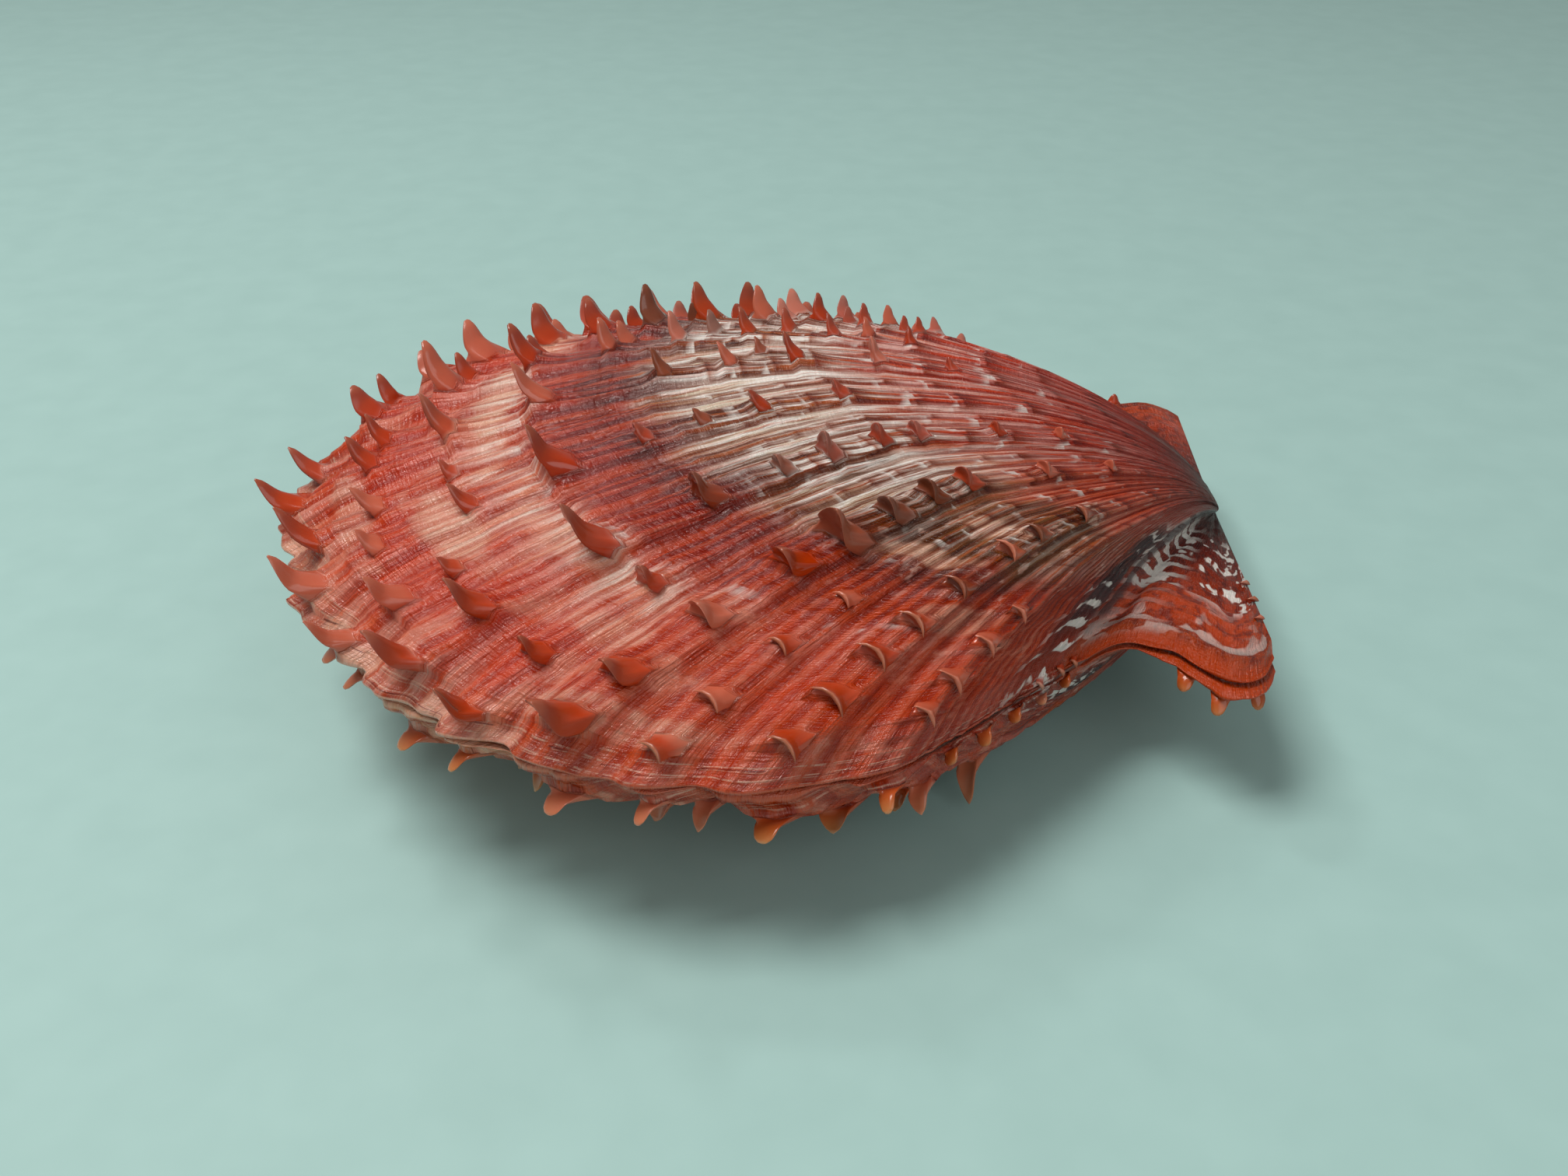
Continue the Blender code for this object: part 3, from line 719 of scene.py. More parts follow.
# %% Building one valve
def build_valve(name, turn, spines, flip, seed):
    """One valve as a closed mesh with its growth, fan, rib, scale, block, ear and spine attributes.

    The beak's two points close the first growth line, outside and inside, and one face closes the
    hinge. The lower valve is built like the upper one and mirrored, so its faces are turned round."""
    outer, normal, along = outside(turn, spines, flip, seed)
    below = rim_and_hollow(outer[-1], turn, flip)
    rows, columns = outer.shape[:2]
    total_rows = rows + len(below)
    shell = np.concatenate([outer, below]).reshape(-1, 3)
    index = np.arange(total_rows * columns).reshape(total_rows, columns)
    mirror = np.array([1.0, 1.0, -1.0 if flip else 1.0])
    standing, taken = standing_spines(outer, spines, flip)
    made, beak = grow_spines(shell, index, standing, normal, along, mirror,
                             np.random.default_rng(seed + 100))
    keep = np.ones((total_rows - 1, columns - 1), bool)
    keep[:rows - 1] = ~taken
    grid_faces = np.stack([index[:-1, :-1][keep], index[:-1, 1:][keep],
                           index[1:, 1:][keep], index[1:, :-1][keep]], axis=1)

    made["points"].append(np.array([[0.0, 0.0, MARGIN_THICKNESS * 0.5], [0.0, 0.0, MEETING_GAP / 2]]))
    made["borrowed"].append(np.array([index[0, 0], index[-1, 0]]))
    made["tint"].append(np.zeros(2))
    first, last = index[0], index[-1]
    made["triangles"].append(np.stack([np.full(columns - 1, beak), first[1:], first[:-1]], axis=1))
    made["triangles"].append(np.stack([np.full(columns - 1, beak + 1), last[:-1], last[1:]], axis=1))
    hinge_wall = np.concatenate([index[::-1, 0], [beak], index[:, -1], [beak + 1]])
    faces = np.concatenate([grid_faces] + made["quads"]).tolist()
    faces += np.concatenate(made["triangles"]).tolist() + made["caps"] + [hinge_wall.tolist()]
    if flip:
        faces = [face[::-1] for face in faces]
    resting = lie_at_rest(np.concatenate(made["points"]) * mirror)
    resting[:, 2] = np.maximum(resting[:, 2], 0.0)
    mesh = bpy.data.meshes.new(name)
    mesh.from_pydata((resting * MM).tolist(), [], faces)
    mesh.shade_smooth()
    piece = bpy.data.objects.new(name, mesh)
    bpy.context.scene.collection.objects.link(piece)
    add_attributes(mesh, rows, total_rows, np.concatenate(made["borrowed"]), np.concatenate(made["tint"]))
    mesh.update()
    print(name, beak + 2, "points,", len(standing), "spines,",
          sum(len(face) - 2 for face in faces), "triangles")
    return piece


# %% [markdown]
# The colours need to know where each point sits in the shell's growth, so every value that shaped the
# surface is stored with the mesh. A point on a spine borrows those of the rib behind it. Pale and dusky
# patches are the only marks that follow no rule: the real shell has them where it grew unevenly, so
# they are a short list.

# %% What the finish reads
# middle fan, middle growth, reach in fan, reach in growth, strength
PALE_PATCHES = ((-21.5, 0.47, 3.0, 0.04, 0.6), (10.0, 0.80, 9.0, 0.022, 1.0), (-5.5, 0.865, 5.0, 0.025, 0.9),
                (-31.0, 0.55, 3.2, 0.02, 1.0), (-30.0, 0.632, 4.0, 0.016, 1.0), (30.0, 0.81, 12.0, 0.02, 0.8),
                (-14.0, 0.80, 6.0, 0.02, 0.5), (1.0, 0.935, 5.0, 0.02, 0.5), (-21.0, 0.86, 3.0, 0.02, 0.5),
                (38.0, 0.92, 8.0, 0.03, 0.6), (-36.0, 0.74, 3.0, 0.03, 0.5), (-26.0, 0.95, 6.0, 0.02, 0.5))
DUSKY_PATCHES = ((-34.0, 0.50, 5.0, 0.06, 1.0), (-25.5, 0.60, 4.5, 0.045, 1.0),
                 (-24.5, 0.515, 3.0, 0.03, 1.0), (-30.5, 0.595, 3.0, 0.02, 1.0),
                 (-33.0, 0.665, 5.0, 0.025, 0.7), (-14.0, 0.63, 3.5, 0.05, 0.8), (5.0, 0.64, 3.5, 0.04, 0.9),
                 (24.0, 0.655, 9.0, 0.03, 1.0), (40.0, 0.62, 8.0, 0.03, 0.7), (-4.5, 0.60, 2.5, 0.03, 0.7),
                 (14.0, 0.585, 2.5, 0.03, 0.8), (9.0, 0.70, 8.0, 0.02, 0.5), (-9.0, 0.69, 6.0, 0.015, 0.5),
                 (21.0, 0.58, 4.0, 0.035, 0.9), (-17.0, 0.55, 2.5, 0.04, 0.8), (8.0, 0.52, 3.0, 0.025, 0.7))
PATCH_FRAYING = 0.25
# the flank's share of the finish, column by column
flank_row = (ease(-55.5, -54.0, fan) * (1 - ease(-49.5, -46.0, fan)))[None]


def patches(spots):
    """Uneven patches, 0 to 1: for each, strength where e^(-distance^2) plus ripples is high enough."""
    rough = 0.30 * ripples(fan_grid * 1.1, growth_grid * 26, 61)
    rough = rough + 0.22 * ripples(fan_grid * 3.4, growth_grid * 9, 62)
    total = np.zeros(growth_grid.shape)
    for spot, stage, reach, span, strength in spots:
        away = ((fan_grid - spot) / reach) ** 2 + ((growth_grid - stage) / span) ** 2
        total = np.maximum(total, strength * ease(0.30, 0.62, np.exp(-away) + PATCH_FRAYING * rough))
    return total


def add_attributes(mesh, rows, total_rows, borrowed, spine_share):
    """Stores, for each point, where it is in the shell's growth, for the finish to follow.

    The first rows are the outside. Two rim rows and the inside lie below it and carry plain values."""
    under = total_rows - rows
    plain = np.zeros((under, len(fan)))
    values = {
        "growth": np.concatenate([growth_grid, np.ones((len(RIM_DROPS), len(fan))),
                                  np.repeat(INNER_STAGES[:, None], len(fan), axis=1)]),
        "fan": np.concatenate([pattern_fan, np.repeat(fan[None], under, axis=0)]),
        "riblet": np.concatenate([riblet_grid, plain + 1]),
        "flank": np.repeat(flank_row, total_rows, axis=0),
        "ear": np.repeat(1 - ease(0.84, 0.925, share)[None], total_rows, axis=0),
        "inside": np.concatenate([np.zeros((rows + 3, len(fan))), np.ones((under - 3, len(fan)))]),
    }
    outside_only = {"rib": rib_grid * np.where(broad_grid, 1.0, 0.55) * on_disc, "scale": scale_grid,
                    "block": block_grid, "lamella": lamella_grid,
                    "pale": patches(PALE_PATCHES), "dusky": patches(DUSKY_PATCHES)}
    values.update({name: np.concatenate([grid, plain]) for name, grid in outside_only.items()})
    for name, grid in values.items():
        layer = mesh.attributes.new(name, "FLOAT", "POINT")
        layer.data.foreach_set("value", grid.reshape(-1)[borrowed].astype(np.float32))
    layer = mesh.attributes.new("spine", "FLOAT", "POINT")
    layer.data.foreach_set("value", spine_share.astype(np.float32))


upper = build_valve("upper_valve_shell", UPPER_TURN, UPPER_SPINES, False, 41)
lower = build_valve("lower_valve_shell", LOWER_TURN, LOWER_SPINES, True, 42)

# %% [markdown]
# ## The finish of a shell
#
# A scallop's outer layer is calcite laid down in thin coloured bands, and this one shines as if it were
# wet. The colours follow growth, not space: bands of maroon, white, pink, cream and coral cross the
# ribs, painted shade darkens the ribs towards each scale's lifted edge, and pale streaks run along the
# riblets. So every pattern reads the growth, fan and rib attributes of the mesh. An image would be the
# quick way, but ramps over growth keep the pattern sharp and let both valves share one recipe.
#
# One function adds every node. Its table lists, for each plain word, the node that is meant, the node's
# settings, the sockets in the order in which values are given, and the output that is read. `cover`
# lays a colour over another where its mask is 1, and the multiplying word lays one times the other: it
# gives real stains and also painted shade, in the riblet furrows and towards each scale's end.

# %% Helpers for materials
CALCITE_IOR = 1.52


def linear(code):
    """A hex sRGB colour as linear RGBA: c / 12.92 below 0.04045, else ((c + 0.055) / 1.055)^2.4."""
    parts = [int(code[k:k + 2], 16) / 255 for k in (1, 3, 5)]
    return tuple(c / 12.92 if c <= 0.04045 else ((c + 0.055) / 1.055) ** 2.4 for c in parts) + (1.0,)


def plug(tree, socket, value):
    """Links an output to the socket, or sets a plain value or a hex colour on the socket itself."""
    if isinstance(value, bpy.types.NodeSocket):
        tree.links.new(value, socket)
    else:
        socket.default_value = linear(value) if isinstance(value, str) else value


NODE_WORDS = {
    "attribute": ("ShaderNodeAttribute", {}, (), "Fac"),
    "times": ("ShaderNodeMath", {"operation": "MULTIPLY"}, (0, 1), 0),
    "plus": ("ShaderNodeMath", {"operation": "ADD"}, (0, 1), 0),
    "times plus": ("ShaderNodeMath", {"operation": "MULTIPLY_ADD"}, (0, 1, 2), 0),
    "larger": ("ShaderNodeMath", {"operation": "MAXIMUM"}, (0, 1), 0),
    "unsigned": ("ShaderNodeMath", {"operation": "ABSOLUTE"}, (0,), 0),
    "cosine": ("ShaderNodeMath", {"operation": "COSINE"}, (0,), 0),
    "zigzag": ("ShaderNodeMath", {"operation": "PINGPONG"}, (0, 1), 0),
    "vector": ("ShaderNodeCombineXYZ", {}, ("X", "Y"), 0),
    "noise": ("ShaderNodeTexNoise", {}, ("Vector", "Scale", "Detail", "Roughness"), "Fac"),
    "plain noise": ("ShaderNodeTexNoise", {}, ("Scale",), "Fac"),
    "between": ("ShaderNodeMapRange", {"interpolation_type": "SMOOTHSTEP"},
                ("Value", "From Min", "From Max", "To Max"), 0),
    "range": ("ShaderNodeMapRange", {}, ("Value", "From Min", "From Max", "To Min", "To Max"), 0),
    "ramp": ("ShaderNodeValToRGB", {}, ("Fac", "stops"), "Color"),
    "cover": ("ShaderNodeMix", {"data_type": "RGBA"}, (0, 6, 7), 2),
    "stain": ("ShaderNodeMix", {"data_type": "RGBA", "blend_type": "MULTIPLY"}, (0, 6, 7), 2),
    "deepen": ("ShaderNodeHueSaturation", {}, ("Color", "Hue", "Saturation", "Value"), "Color"),
    "bump": ("ShaderNodeBump", {}, ("Height", "Strength", "Distance"), "Normal"),
}


def add(tree, word, *given, **settings):
    """Adds the node that NODE_WORDS lists under a word and gives back the output that is read.

    The given values go to the listed sockets in turn, and stops fill the colour ramp."""
    kind, usual, sockets, output = NODE_WORDS[word]
    node = tree.nodes.new(kind)
    for key, value in {**usual, **settings}.items():
        setattr(node, key, value)
    for socket, value in zip(sockets, given):
        if socket != "stops":
            plug(tree, node.inputs[socket], value)
            continue
        for number, (spot, colour) in enumerate(value):
            ramp = node.color_ramp.elements
            stop = ramp[number] if number < 2 else ramp.new(spot)
            stop.position = spot
            stop.color = linear(colour) if isinstance(colour, str) else (colour, colour, colour, 1.0)
    return node.outputs[output]


print(len(NODE_WORDS), "kinds of node")

# %% [markdown]
# The ramps are read from the beak (0) to the margin (1). `CREST` is the colour on top of the ribs and
# `FURROW` the colour between them. A plain number in a ramp is a share of grey, for a mask.

# %% Colour bands
UPPER_CREST = ((0.0, "#5A4442"), (0.09, "#5E3C3A"), (0.14, "#7C2E28"), (0.22, "#A43024"), (0.34, "#BA3E2C"),
               (0.45, "#BC4630"), (0.50, "#A85236"), (0.56, "#9A5836"), (0.61, "#84462A"), (0.645, "#6E2A18"),
               (0.68, "#7A1C0E"), (0.74, "#962412"), (0.77, "#AA3622"), (0.80, "#D0866E"), (0.84, "#C25440"),
               (0.88, "#BC402C"), (0.93, "#BC402C"), (0.965, "#C2523C"), (1.0, "#C0624A"))
UPPER_FURROW = ((0.0, "#5A4442"), (0.10, "#64403E"), (0.16, "#8A342C"), (0.24, "#A83C30"), (0.32, "#BC5444"),
                (0.39, "#C2604C"), (0.46, "#CA8470"), (0.51, "#DAC8BC"), (0.61, "#D4C6B2"), (0.65, "#B07858"),
                (0.68, "#9A3018"), (0.75, "#A8361E"), (0.78, "#BA5642"), (0.805, "#DAA08A"),
                (0.845, "#C66650"), (0.885, "#BE4834"), (0.94, "#BE4A36"), (0.975, "#C46850"),
                (1.0, "#C0705A"))
LOWER_CREST = ((0.0, "#7A5A54"), (0.2, "#B06A58"), (0.4, "#BC5634"), (0.55, "#AE4C26"), (0.7, "#A03C1E"),
               (0.85, "#AC4624"), (0.95, "#B8542E"), (1.0, "#C06A40"))
LOWER_FURROW = ((0.0, "#8A6A66"), (0.2, "#C48E80"), (0.4, "#CE9682"), (0.55, "#C67E68"), (0.7, "#BE6C52"),
                (0.85, "#BE644A"), (0.95, "#C07250"), (1.0, "#BC7850"))
OUTER_BANDS = ((0.12, "#82281E"), (0.26, "#B03828"), (0.42, "#C45846"), (0.56, "#B4482E"), (0.70, "#A83A26"),
               (0.84, "#BE4A30"), (1.0, "#A44030"))
NEAR_BANDS = ((0.12, "#7E2A20"), (0.24, "#B03A28"), (0.38, "#CC5C44"), (0.46, "#C87460"), (0.51, "#8C5A30"),
              (0.62, "#6E4220"), (0.665, "#96301C"), (0.75, "#B2442C"), (0.84, "#BA503C"), (1.0, "#B04830"))
EAR_BANDS = ((0.0, "#4E2420"), (0.40, "#70241A"), (0.60, "#94341F"), (0.70, "#A63E28"), (0.76, "#B4472C"),
             (0.86, "#B04226"), (0.90, "#923620"), (1.0, "#A8451F"))
FLANK_BANDS = ((0.3, "#5A2420"), (0.5, "#301A20"), (0.8, "#3A1C20"), (0.92, "#8A3426"))
DUSKY_BANDS = ((0.45, "#6E4020"), (0.60, "#5E3016"), (0.66, "#5C1C0E"), (0.9, "#6A2416"))
HAIR_STAINS = ((0.62, "#B0523A"), (0.68, "#8E3022"), (0.755, "#8E3022"), (0.79, "#D08A74"))
# darker red between the riblets: partly their own colour, partly painted shade in the furrows
RIBLET_FURROW_TONE_AND_SHADE = ((0.44, "#B04A38"), (0.51, "#A06A50"), (0.63, "#986048"), (0.67, "#A84634"),
                 (0.74, "#A84634"), (0.80, "#CC7C68"))
# painted shade: the ribs are multiplied darker towards each scale's lifted edge
SCALE_EDGE_SHADE = ((0.0, "#FFFFFF"), (0.6, "#FFFFFF"), (0.92, "#B87860"), (1.0, "#9C604C"))
LAYER_STAINS = ((0.55, "#FFFFFF"), (0.72, "#F0D2C4"), (0.86, "#FFFFFF"), (0.96, "#8A4A40"))
SHELL_WHITE = "#EAE4DE"
print("crest bands at", [spot for spot, _ in UPPER_CREST])

# %% [markdown]
# ### One recipe for both valves
#
# The recipe goes from large to small: bands, blocks on the ribs, patches, streaks along the riblets,
# the white start of each scale and the painted shade at its end, then the flank and the ears, and last
# the spines. Each step is a short function that takes the colour so far and lays its own marks over
# it. The streaks are noise drawn out along the growth: a noise cell is one unit, so a stretch of 1.5
# across the fan and 9 along the growth gives streaks 0.7 degrees wide and a ninth of the shell long.

# %% What every step reads
GRAINS = {  # stretch across the fan, stretch along the growth, detail
    "blotch": (0.405, 4.05, 3.0), "streak": (1.5, 9.0, 4.0), "hair": (5.0, 14.0, 3.0),
    "speckle": (0.9, 26.0, 3.0), "fleck": (0.6, 22.0, 3.0), "brown hair": (2.6, 7.0, 3.0),
    "cloud": (0.26, 14.0, 4.0), "chalk": (0.5, 16.0, 3.0), "ear spot": (0.30, 13.0, 2.0),
    "growth line": (0.8, 300.0, 2.0), "lump": (1.1, 62.0, 4.0),
}
GRAIN_ROUGHNESS = 0.6


def readings(make):
    """The mesh's attributes, a noise for each grain, and the masks that several steps share.

    The stage is the growth with uneven edges, arched over the ribs."""
    see = {key: make("attribute", attribute_name=key)
           for key in ("growth", "fan", "rib", "riblet", "scale", "block", "ear", "inside", "spine", "pale",
                       "dusky", "flank", "lamella")}
    for key, (across, along, detail) in GRAINS.items():
        spot = make("vector", make("times", see["fan"], across), make("times", see["growth"], along))
        see[key] = make("noise", spot, 1.0, detail, GRAIN_ROUGHNESS)
    arched = make("times plus", see["rib"], 0.012, make("times plus", see["blotch"], 0.09, -0.045))
    ragged = make("times plus", see["streak"], 0.05, -0.025)
    see["stage"] = make("plus", make("plus", see["growth"], arched), ragged)
    see["rib edge"] = make("plus", see["rib"], make("times plus", see["streak"], 0.9, -0.45))
    see["rib mask"] = make("between", see["rib edge"], 0.18, 0.62)
    see["near side"] = make("between", see["fan"], -18.5, -27.0)
    return see


print("grains:", ", ".join(GRAINS))


# %% Bands and patches
def banded(make, see, crest, furrow, brown):
    """Bands by growth: on crests, in furrows, on the near side and outermost, then blocks on the ribs.

    The near side is pink, then brown, then red, where the middle of the shell has its white band."""
    stage = see["stage"]
    colour = make("cover", see["rib mask"], make("ramp", stage, furrow), make("ramp", stage, crest))
    near = make("times", see["near side"], make("between", see["streak"], 0.15, 0.4, 0.95))
    colour = make("cover", near, colour, make("ramp", stage, NEAR_BANDS))
    outermost = make("between", see["fan"], -36.0, -41.0, 0.9)
    colour = make("cover", outermost, colour, make("ramp", stage, OUTER_BANDS))
    middle = make("ramp", stage, ((0.38, 0.0), (0.48, 0.7), (0.64, 0.7), (0.68, 0.0)))
    blocks = make("times", make("between", see["block"], 0.60, 0.64), middle)
    return make("cover", make("times", blocks, see["rib mask"]), colour, brown)


def patched(make, see, colour):
    """Dusky and pale patches, broken up by the streaks, and pale flecks on the near side."""
    dusky = make("times", see["dusky"], make("between", see["streak"], 0.22, 0.48, 0.95))
    colour = make("cover", dusky, colour, make("ramp", see["stage"], DUSKY_BANDS))
    pale = make("times", see["pale"], make("between", see["streak"], 0.20, 0.48, 0.85))
    colour = make("cover", pale, colour, "#E0B8A2")
    flecks = make("times", see["near side"], make("between", see["fleck"], 0.58, 0.64, 0.75))
    young = make("ramp", see["stage"], ((0.30, 0.0), (0.40, 1.0), (0.60, 1.0), (0.72, 0.15)))
    return make("cover", make("times", flecks, young), colour, "#E2C0B2")


# %% Streaks, riblets and scales
def streaked(make, see, colour, white_by_growth):
    """White streaks, strongest where the bands are palest, brown ones among them, and dark hair lines."""
    stage = see["stage"]
    white = make("times", make("between", see["streak"], 0.44, 0.54), make("ramp", stage, white_by_growth))
    white = make("times", white, make("times plus", see["near side"], -0.8, 1.0))
    colour = make("cover", white, colour, SHELL_WHITE)
    brown = make("times", make("between", see["brown hair"], 0.52, 0.60, 0.85),
                 make("ramp", stage, ((0.44, 0.0), (0.50, 0.8), (0.63, 1.0), (0.67, 0.0))))
    colour = make("cover", brown, colour, "#96502F")
    return make("stain", make("between", see["hair"], 0.50, 0.68, 0.6), colour,
                make("ramp", stage, HAIR_STAINS))


def ribleted(make, see, colour):
    """Between the riblets the red is darker, partly their own colour and partly painted shade in the furrows.
    Their crests are paler, partly worn and partly a painted highlight. The newest shell is clouded.
    """
    # partly painted shade: the furrows between the riblets are multiplied darker red
    colour = make("stain", make("between", see["riblet"], 0.70, 0.15, 0.7), colour,
                  make("ramp", see["stage"], RIBLET_FURROW_TONE_AND_SHADE))
    # the riblet crests go paler: partly wear, partly a painted highlight along each crest
    worn_and_highlit_crests = make("times", make("between", see["riblet"], 0.74, 1.0),
                make("between", see["hair"], 0.40, 0.60, 0.40))
    colour = make("cover", worn_and_highlit_crests, colour, "#D27058")
    newest = make("between", see["growth"], 0.75, 0.80)
    for low, high, tint in ((0.53, 0.68, "#D8907C"), (0.46, 0.34, "#B83E28")):
        cloud = make("times", make("between", see["cloud"], low, high, 0.55), newest)
        colour = make("cover", cloud, colour, tint)
    return colour


def scaled(make, see, colour):
    """Each scale on a rib starts with a white line and ends in painted shade towards its lifted edge,
    most of all in the older half.
    """
    stage = see["stage"]
    older = make("ramp", stage, ((0.60, 1.0), (0.68, 0.22)))
    # painted shade on the ribs towards each scale's lifted edge, strongest in the older half
    colour = make("stain", make("times", see["rib mask"], older), colour,
                  make("ramp", see["scale"], SCALE_EDGE_SHADE))
    line = make("times", make("ramp", see["scale"], ((0.0, 0.95), (0.10, 0.95), (0.24, 0.0))),
                make("ramp", stage, ((0.22, 0.0), (0.27, 0.75), (0.62, 0.75), (0.67, 0.0), (0.77, 0.0),
                                     (0.79, 0.5), (0.83, 0.0))))
    line = make("times", line, make("between", see["chalk"], 0.46, 0.58))
    line = make("times", line, make("between", see["fan"], -38.0, -33.0))
    return make("cover", make("times", line, make("between", see["rib edge"], 0.0, 0.4)), colour, SHELL_WHITE)


# %% Flank, ears and edges
CHEVRON_STEP = 0.07


def flanked(make, see, colour):
    """The flank is dark purple with white chevrons, one to each growth line.

    The chevrons are a cosine of 2 pi * growth / step + 1.3 * the fan's zigzag + 9 * blotch."""
    pushed = make("times plus", make("zigzag", see["fan"], 2.6), 1.3, make("times", see["blotch"], 9.0))
    turn = make("plus", make("times", see["growth"], 2 * math.pi / CHEVRON_STEP), pushed)
    wave = make("plus", make("cosine", turn), make("times plus", see["blotch"], 6.0, -3.2))
    flank = make("cover", make("between", wave, 0.45, 0.85, 0.9), make("ramp", see["stage"], FLANK_BANDS),
                 SHELL_WHITE)
    mask = make("times", see["flank"], make("between", see["growth"], 0.36, 0.50))
    return make("cover", make("times", mask, make("between", see["blotch"], 0.30, 0.42, 0.95)), colour, flank)


def eared(make, see, colour):
    """White crescents by the near groove and white spots beyond them on maroon, then an orange band.

    The crescents are a cosine that follows the ear's ridges. The far ear has no white marks."""
    uneven = make("times plus", see["blotch"], 0.05, see["growth"])
    wave = make("cosine", make("times", uneven, 2 * math.pi / EAR_RIDGE_STEP))
    crescent = make("between", make("plus", wave, make("times plus", see["blotch"], 1.0, -0.5)), 0.20, 0.45)
    by_groove = make("between", make("unsigned", see["fan"]), 62.5, 59.5)
    marks = make("larger", make("times", crescent, by_groove), make("between", see["ear spot"], 0.55, 0.59))
    marks = make("times", marks, make("between", see["fan"], 10.0, -10.0))
    by_growth = make("ramp", see["growth"], ((0.2, 0.0), (0.3, 0.95), (0.68, 0.95), (0.73, 0.12),
                                             (0.84, 0.20), (0.88, 0.42), (0.94, 0.3), (1.0, 0.1)))
    ground = make("stain", make("between", see["speckle"], 0.46, 0.62, 0.7),
                  make("ramp", see["stage"], EAR_BANDS), "#8A2C1C")
    ear = make("cover", make("times", marks, by_growth), ground, SHELL_WHITE)
    return make("cover", see["ear"], colour, ear)


def edged(make, see, colour):
    """A dark groove, a margin that is cream in front and striped by its thin layers, and red ear lips."""
    from_groove = make("unsigned", make("plus", see["fan"], -NEAR_GROOVE))
    groove = make("times", make("between", from_groove, 1.3, 0.3, 0.85),
                  make("between", see["growth"], 0.92, 0.80))
    colour = make("cover", groove, colour, "#3C1C20")
    front = make("times", make("between", see["fan"], -30.0, -14.0), make("between", see["fan"], 44.0, 30.0))
    front = make("times", front, make("between", see["growth"], 0.974, 0.990, 0.42))
    furrow = make("between", make("plus", see["rib"], see["streak"]), 1.15, 0.75)
    colour = make("cover", make("times", front, furrow), colour, "#E6C0AA")
    colour = make("stain", make("between", see["lamella"], 0.5, 0.7, 0.8), colour,
                  make("ramp", see["lamella"], LAYER_STAINS))
    bright = make("ramp", see["lamella"], ((0.62, 0.0), (0.72, 0.55), (0.82, 0.0)))
    bright = make("times", bright, make("between", see["streak"], 0.40, 0.55))
    colour = make("cover", bright, colour, "#E4C0AC")
    lip = make("times", see["ear"], make("between", see["growth"], 0.93, 0.97))
    return make("cover", lip, colour, "#AC4022")


# %% Spines and the inside
def spined(make, see, colour, warm):
    """Spines keep the rib's own red at the foot and turn to the warm colours, some paler or browner.

    The hollow inside is a plain chalky white."""
    # only hood rims pass the 0.85 stop and lighten towards #D08C70: partly pale rim, partly painted highlight
    stops = tuple(zip((0.0, 0.3, 0.55, 0.7, 0.85, 1.0), warm + (warm[-1], "#D08C70")))
    spine = make("ramp", see["spine"], stops)
    spine = make("cover", make("between", see["block"], 0.55, 0.60, 0.55), spine, "#CE7E6A")
    spine = make("cover", make("times", see["dusky"], 0.8), spine, "#5E3018")
    colour = make("cover", make("between", see["spine"], 0.0, 0.14, 0.88), colour, spine)
    return make("cover", see["inside"], colour, "#E9DFD6")


# %% [markdown]
# Calcite's own index of refraction is near 1.6, and a wet and slightly worn surface looks softer, so a
# value a little lower fits. The roughness goes up and down with the hair lines because the shell is worn
# in places, the dark band is the wettest, and a thin clear coat gives its small glints. The bump is
# growth lines about 0.2 mm apart, hair-fine riblets and small lumps, all too fine to be worth modelling.
# Light passes a little way into the shell, and farther into the thin spines.

# %% The shell material
def shell_finish(name, crest, furrow, white_by_growth, brown, warm):
    """Glossy grown calcite: the colour steps in turn, then gloss, bump and the light let in."""
    material = bpy.data.materials.new(name)
    material.use_nodes = True
    tree = material.node_tree
    make = functools.partial(add, tree)
    see = readings(make)
    stage = see["stage"]
    colour = banded(make, see, crest, furrow, brown)
    colour = patched(make, see, colour)
    colour = streaked(make, see, colour, white_by_growth)
    for step in (ribleted, scaled, flanked, eared, edged):
        colour = step(make, see, colour)
    colour = make("deepen", spined(make, see, colour, warm), 0.501, 1.07, 0.97)
    rough = make("times", make("range", see["hair"], 0.35, 0.65, 0.15, 0.40),
                 make("ramp", stage, ((0.63, 1.0), (0.68, 0.5), (0.76, 0.5), (0.80, 0.9))))
    lump_share = make("ramp", stage, ((0.60, 0.7), (0.67, 1.6), (0.78, 1.6), (0.84, 1.0)))
    fine = make("times plus", see["growth line"], 0.5, see["hair"])
    bump = make("bump", make("times plus", see["lump"], lump_share, fine), 0.8, 0.00025)
    glow = make("times plus", make("between", see["spine"], 0.1, 0.6), 0.25, 0.10)
    wet = make("ramp", stage, ((0.62, 0.10), (0.67, 0.28), (0.77, 0.28), (0.82, 0.15)))
    shader = tree.nodes["Principled BSDF"]
    for socket, value in {"Base Color": colour, "Roughness": rough, "Normal": bump, "IOR": CALCITE_IOR,
                          "Specular IOR Level": 0.38, "Coat Weight": wet, "Coat Normal": bump,
                          "Coat Roughness": 0.07, "Subsurface Weight": glow,
                          "Subsurface Radius": (0.0009, 0.0003, 0.0002)}.items():
        plug(tree, shader.inputs[socket], value)
    return material


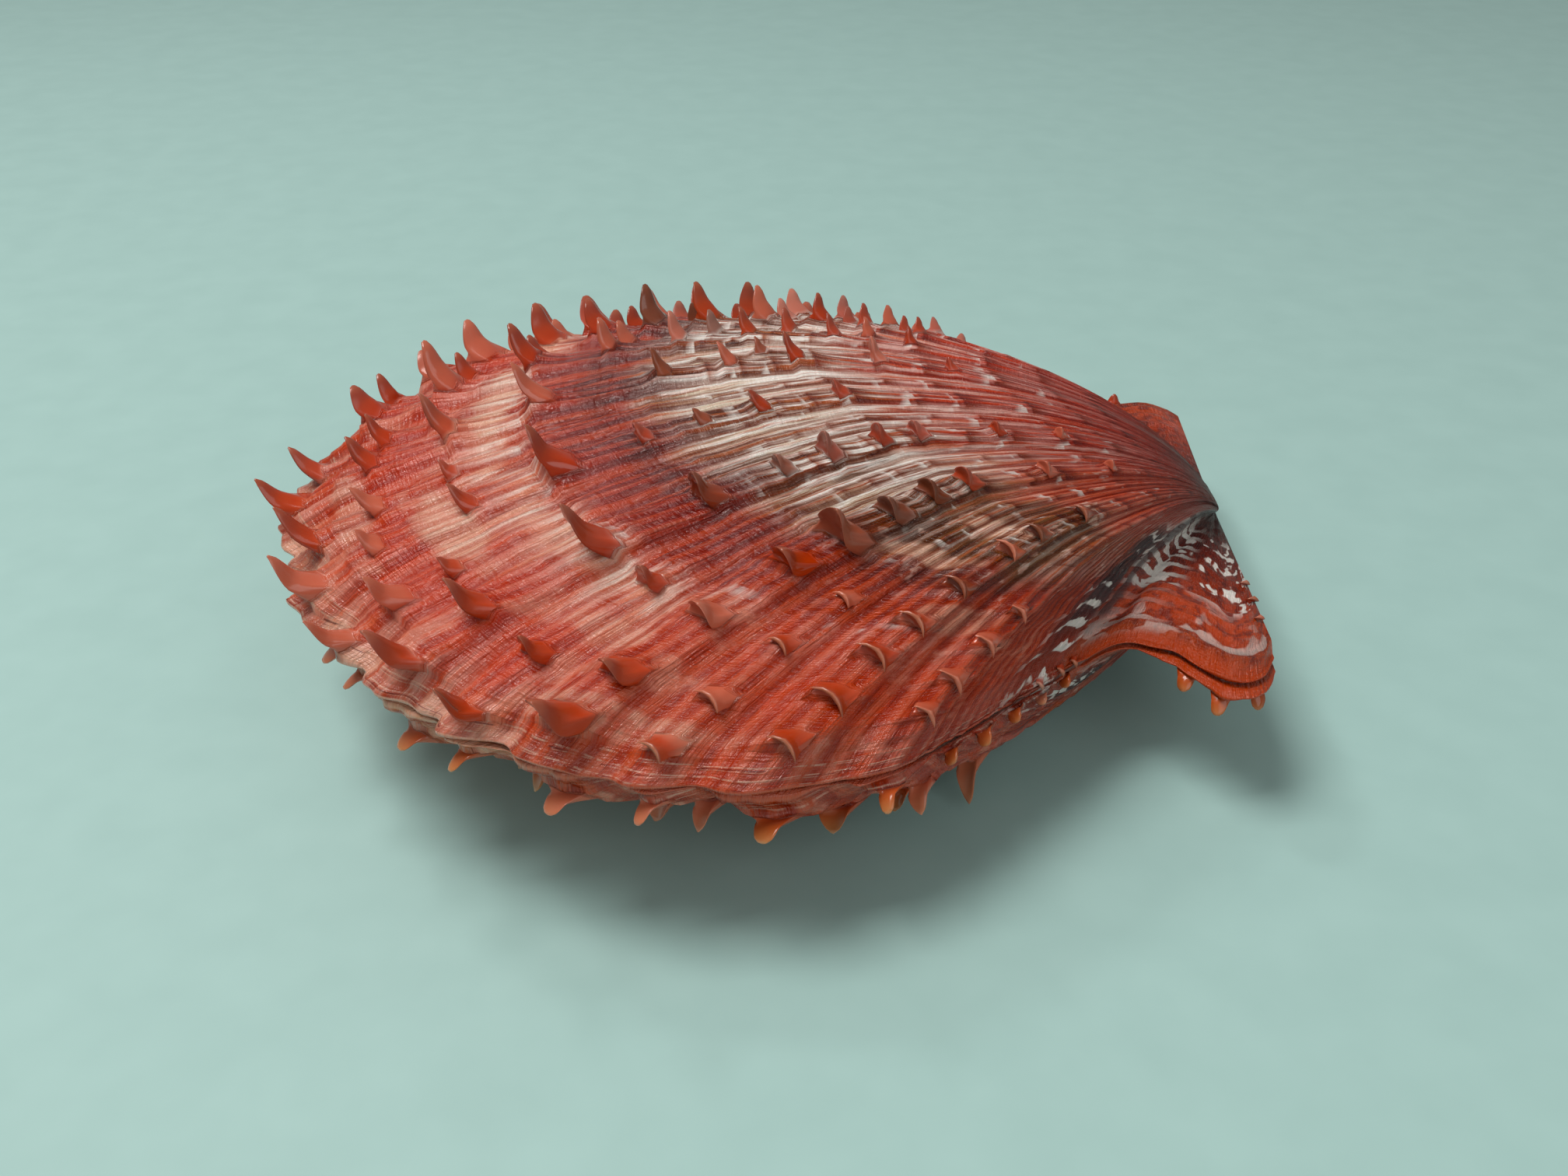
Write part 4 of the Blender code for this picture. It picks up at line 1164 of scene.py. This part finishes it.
UPPER_WHITE = ((0.18, 0.0), (0.28, 0.22), (0.40, 0.38), (0.46, 0.5), (0.50, 0.95), (0.62, 0.95),
               (0.66, 0.3), (0.69, 0.0), (0.77, 0.05), (0.80, 0.5), (0.85, 0.15), (0.90, 0.05), (1.0, 0.2))
LOWER_WHITE = ((0.1, 0.3), (0.3, 0.6), (0.6, 0.4), (1.0, 0.2))
upper_finish = shell_finish("coral scallop calcite, glossy", UPPER_CREST, UPPER_FURROW, UPPER_WHITE,
                            "#7A3C22", ("#B84430", "#A84632", "#94483A", "#9C5A48"))
lower_finish = shell_finish("salmon scallop calcite, glossy", LOWER_CREST, LOWER_FURROW, LOWER_WHITE,
                            "#9A4424", ("#B04A34", "#B4603E", "#BC7E54", "#C89E78"))
upper.data.materials.append(upper_finish)
lower.data.materials.append(lower_finish)
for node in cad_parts.values():
    node.data.materials.clear()
    node.data.materials.append(lower_finish if node.name == "lower_valve" else upper_finish)
print("materials:", upper_finish.name, "and", lower_finish.name)

# %% [markdown]
# ## What each piece stands for
#
# Each fine valve takes the place of its solid, which stays behind for collision.

# %% Riding and replacing
for piece, node, slot in ((upper, "upper_valve", "upper_shell"), (lower, "lower_valve", "lower_shell")):
    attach(piece, "root")
    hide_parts(node)

# %% [markdown]
# ## Floor, light and camera
#
# The shell is a small glossy thing, so it is lit like a still life by a window: one soft light high on
# the left, a smaller one behind it for glints, a weak fill in front, and a pale surround for the gloss
# to reflect. The camera stands close, under two shell lengths away and looking down about 32 degrees,
# which gives the strong perspective of a close-up.

# %% The stage
CAMERA_FROM_BEAK = np.array([-24.4, -96.4, 53.1])
CAMERA_TURN = (math.radians(58.4), math.radians(0.3), math.radians(2.6))
CAMERA_LENS = 37.0
FLOOR_HALF = 2.0
ROOM_STRENGTH = 0.36
LIGHTS = (  # name, place and aim in mm, side in mm, watts, colour
    ("window above", (-150, -40, 420), (0, 0, 5), 190, 1.46, (1.0, 0.97, 0.93)),
    ("small window", (-180, 150, 320), (-5, 0, 8), 50, 0.18, (1.0, 0.98, 0.96)),
    ("fill in front", (160, -280, 200), (0, 0, 5), 260, 0.32, (1.0, 0.98, 0.96)),
)


def add_floor():
    """A plain pale floor, wide enough to fill the view."""
    mesh = bpy.data.meshes.new("floor")
    corners = [(x * FLOOR_HALF, y * FLOOR_HALF, 0) for x, y in ((-1, -1), (1, -1), (1, 1), (-1, 1))]
    mesh.from_pydata(corners, [], [(0, 1, 2, 3)])
    floor = bpy.data.objects.new("floor", mesh)
    bpy.context.scene.collection.objects.link(floor)
    paint = bpy.data.materials.new("matt pale aqua paint")
    paint.use_nodes = True
    tree = paint.node_tree
    shader = tree.nodes["Principled BSDF"]
    tone = add(tree, "ramp", add(tree, "plain noise", 900.0), ((0.3, "#9EC0BC"), (0.7, "#A2C4C0")))
    plug(tree, shader.inputs["Base Color"], tone)
    plug(tree, shader.inputs["Roughness"], 0.6)
    mesh.materials.append(paint)


def add_light(name, place_mm, aim_mm, size_mm, watts, colour):
    """A square soft light at a place, turned to face its aim."""
    lamp = bpy.data.lights.new(name, "AREA")
    lamp.size = size_mm * MM
    lamp.energy = watts
    lamp.color = colour
    thing = bpy.data.objects.new(name, lamp)
    spot = Vector(place_mm) * MM
    thing.location = spot
    thing.rotation_euler = (Vector(aim_mm) * MM - spot).to_track_quat("-Z", "Y").to_euler()
    bpy.context.scene.collection.objects.link(thing)


add_floor()
for light in LIGHTS:
    add_light(*light)
world = bpy.data.worlds.new("pale room")
world.use_nodes = True
background = world.node_tree.nodes["Background"]
plug(world.node_tree, background.inputs["Color"], "#D8DAD6")
plug(world.node_tree, background.inputs["Strength"], ROOM_STRENGTH)
bpy.context.scene.world = world

eye = bpy.data.cameras.new("close up")
eye.lens = CAMERA_LENS
eye.sensor_width = 36.0
eye.clip_start = 0.005
camera = bpy.data.objects.new("close up", eye)
camera.location = (BEAK_PLACE + CAMERA_FROM_BEAK) * MM
camera.rotation_euler = CAMERA_TURN
bpy.context.scene.collection.objects.link(camera)
bpy.context.scene.camera = camera
bpy.context.scene.view_settings.view_transform = "Standard"
print("camera at", [round(v * 1000, 1) for v in camera.location], "mm")
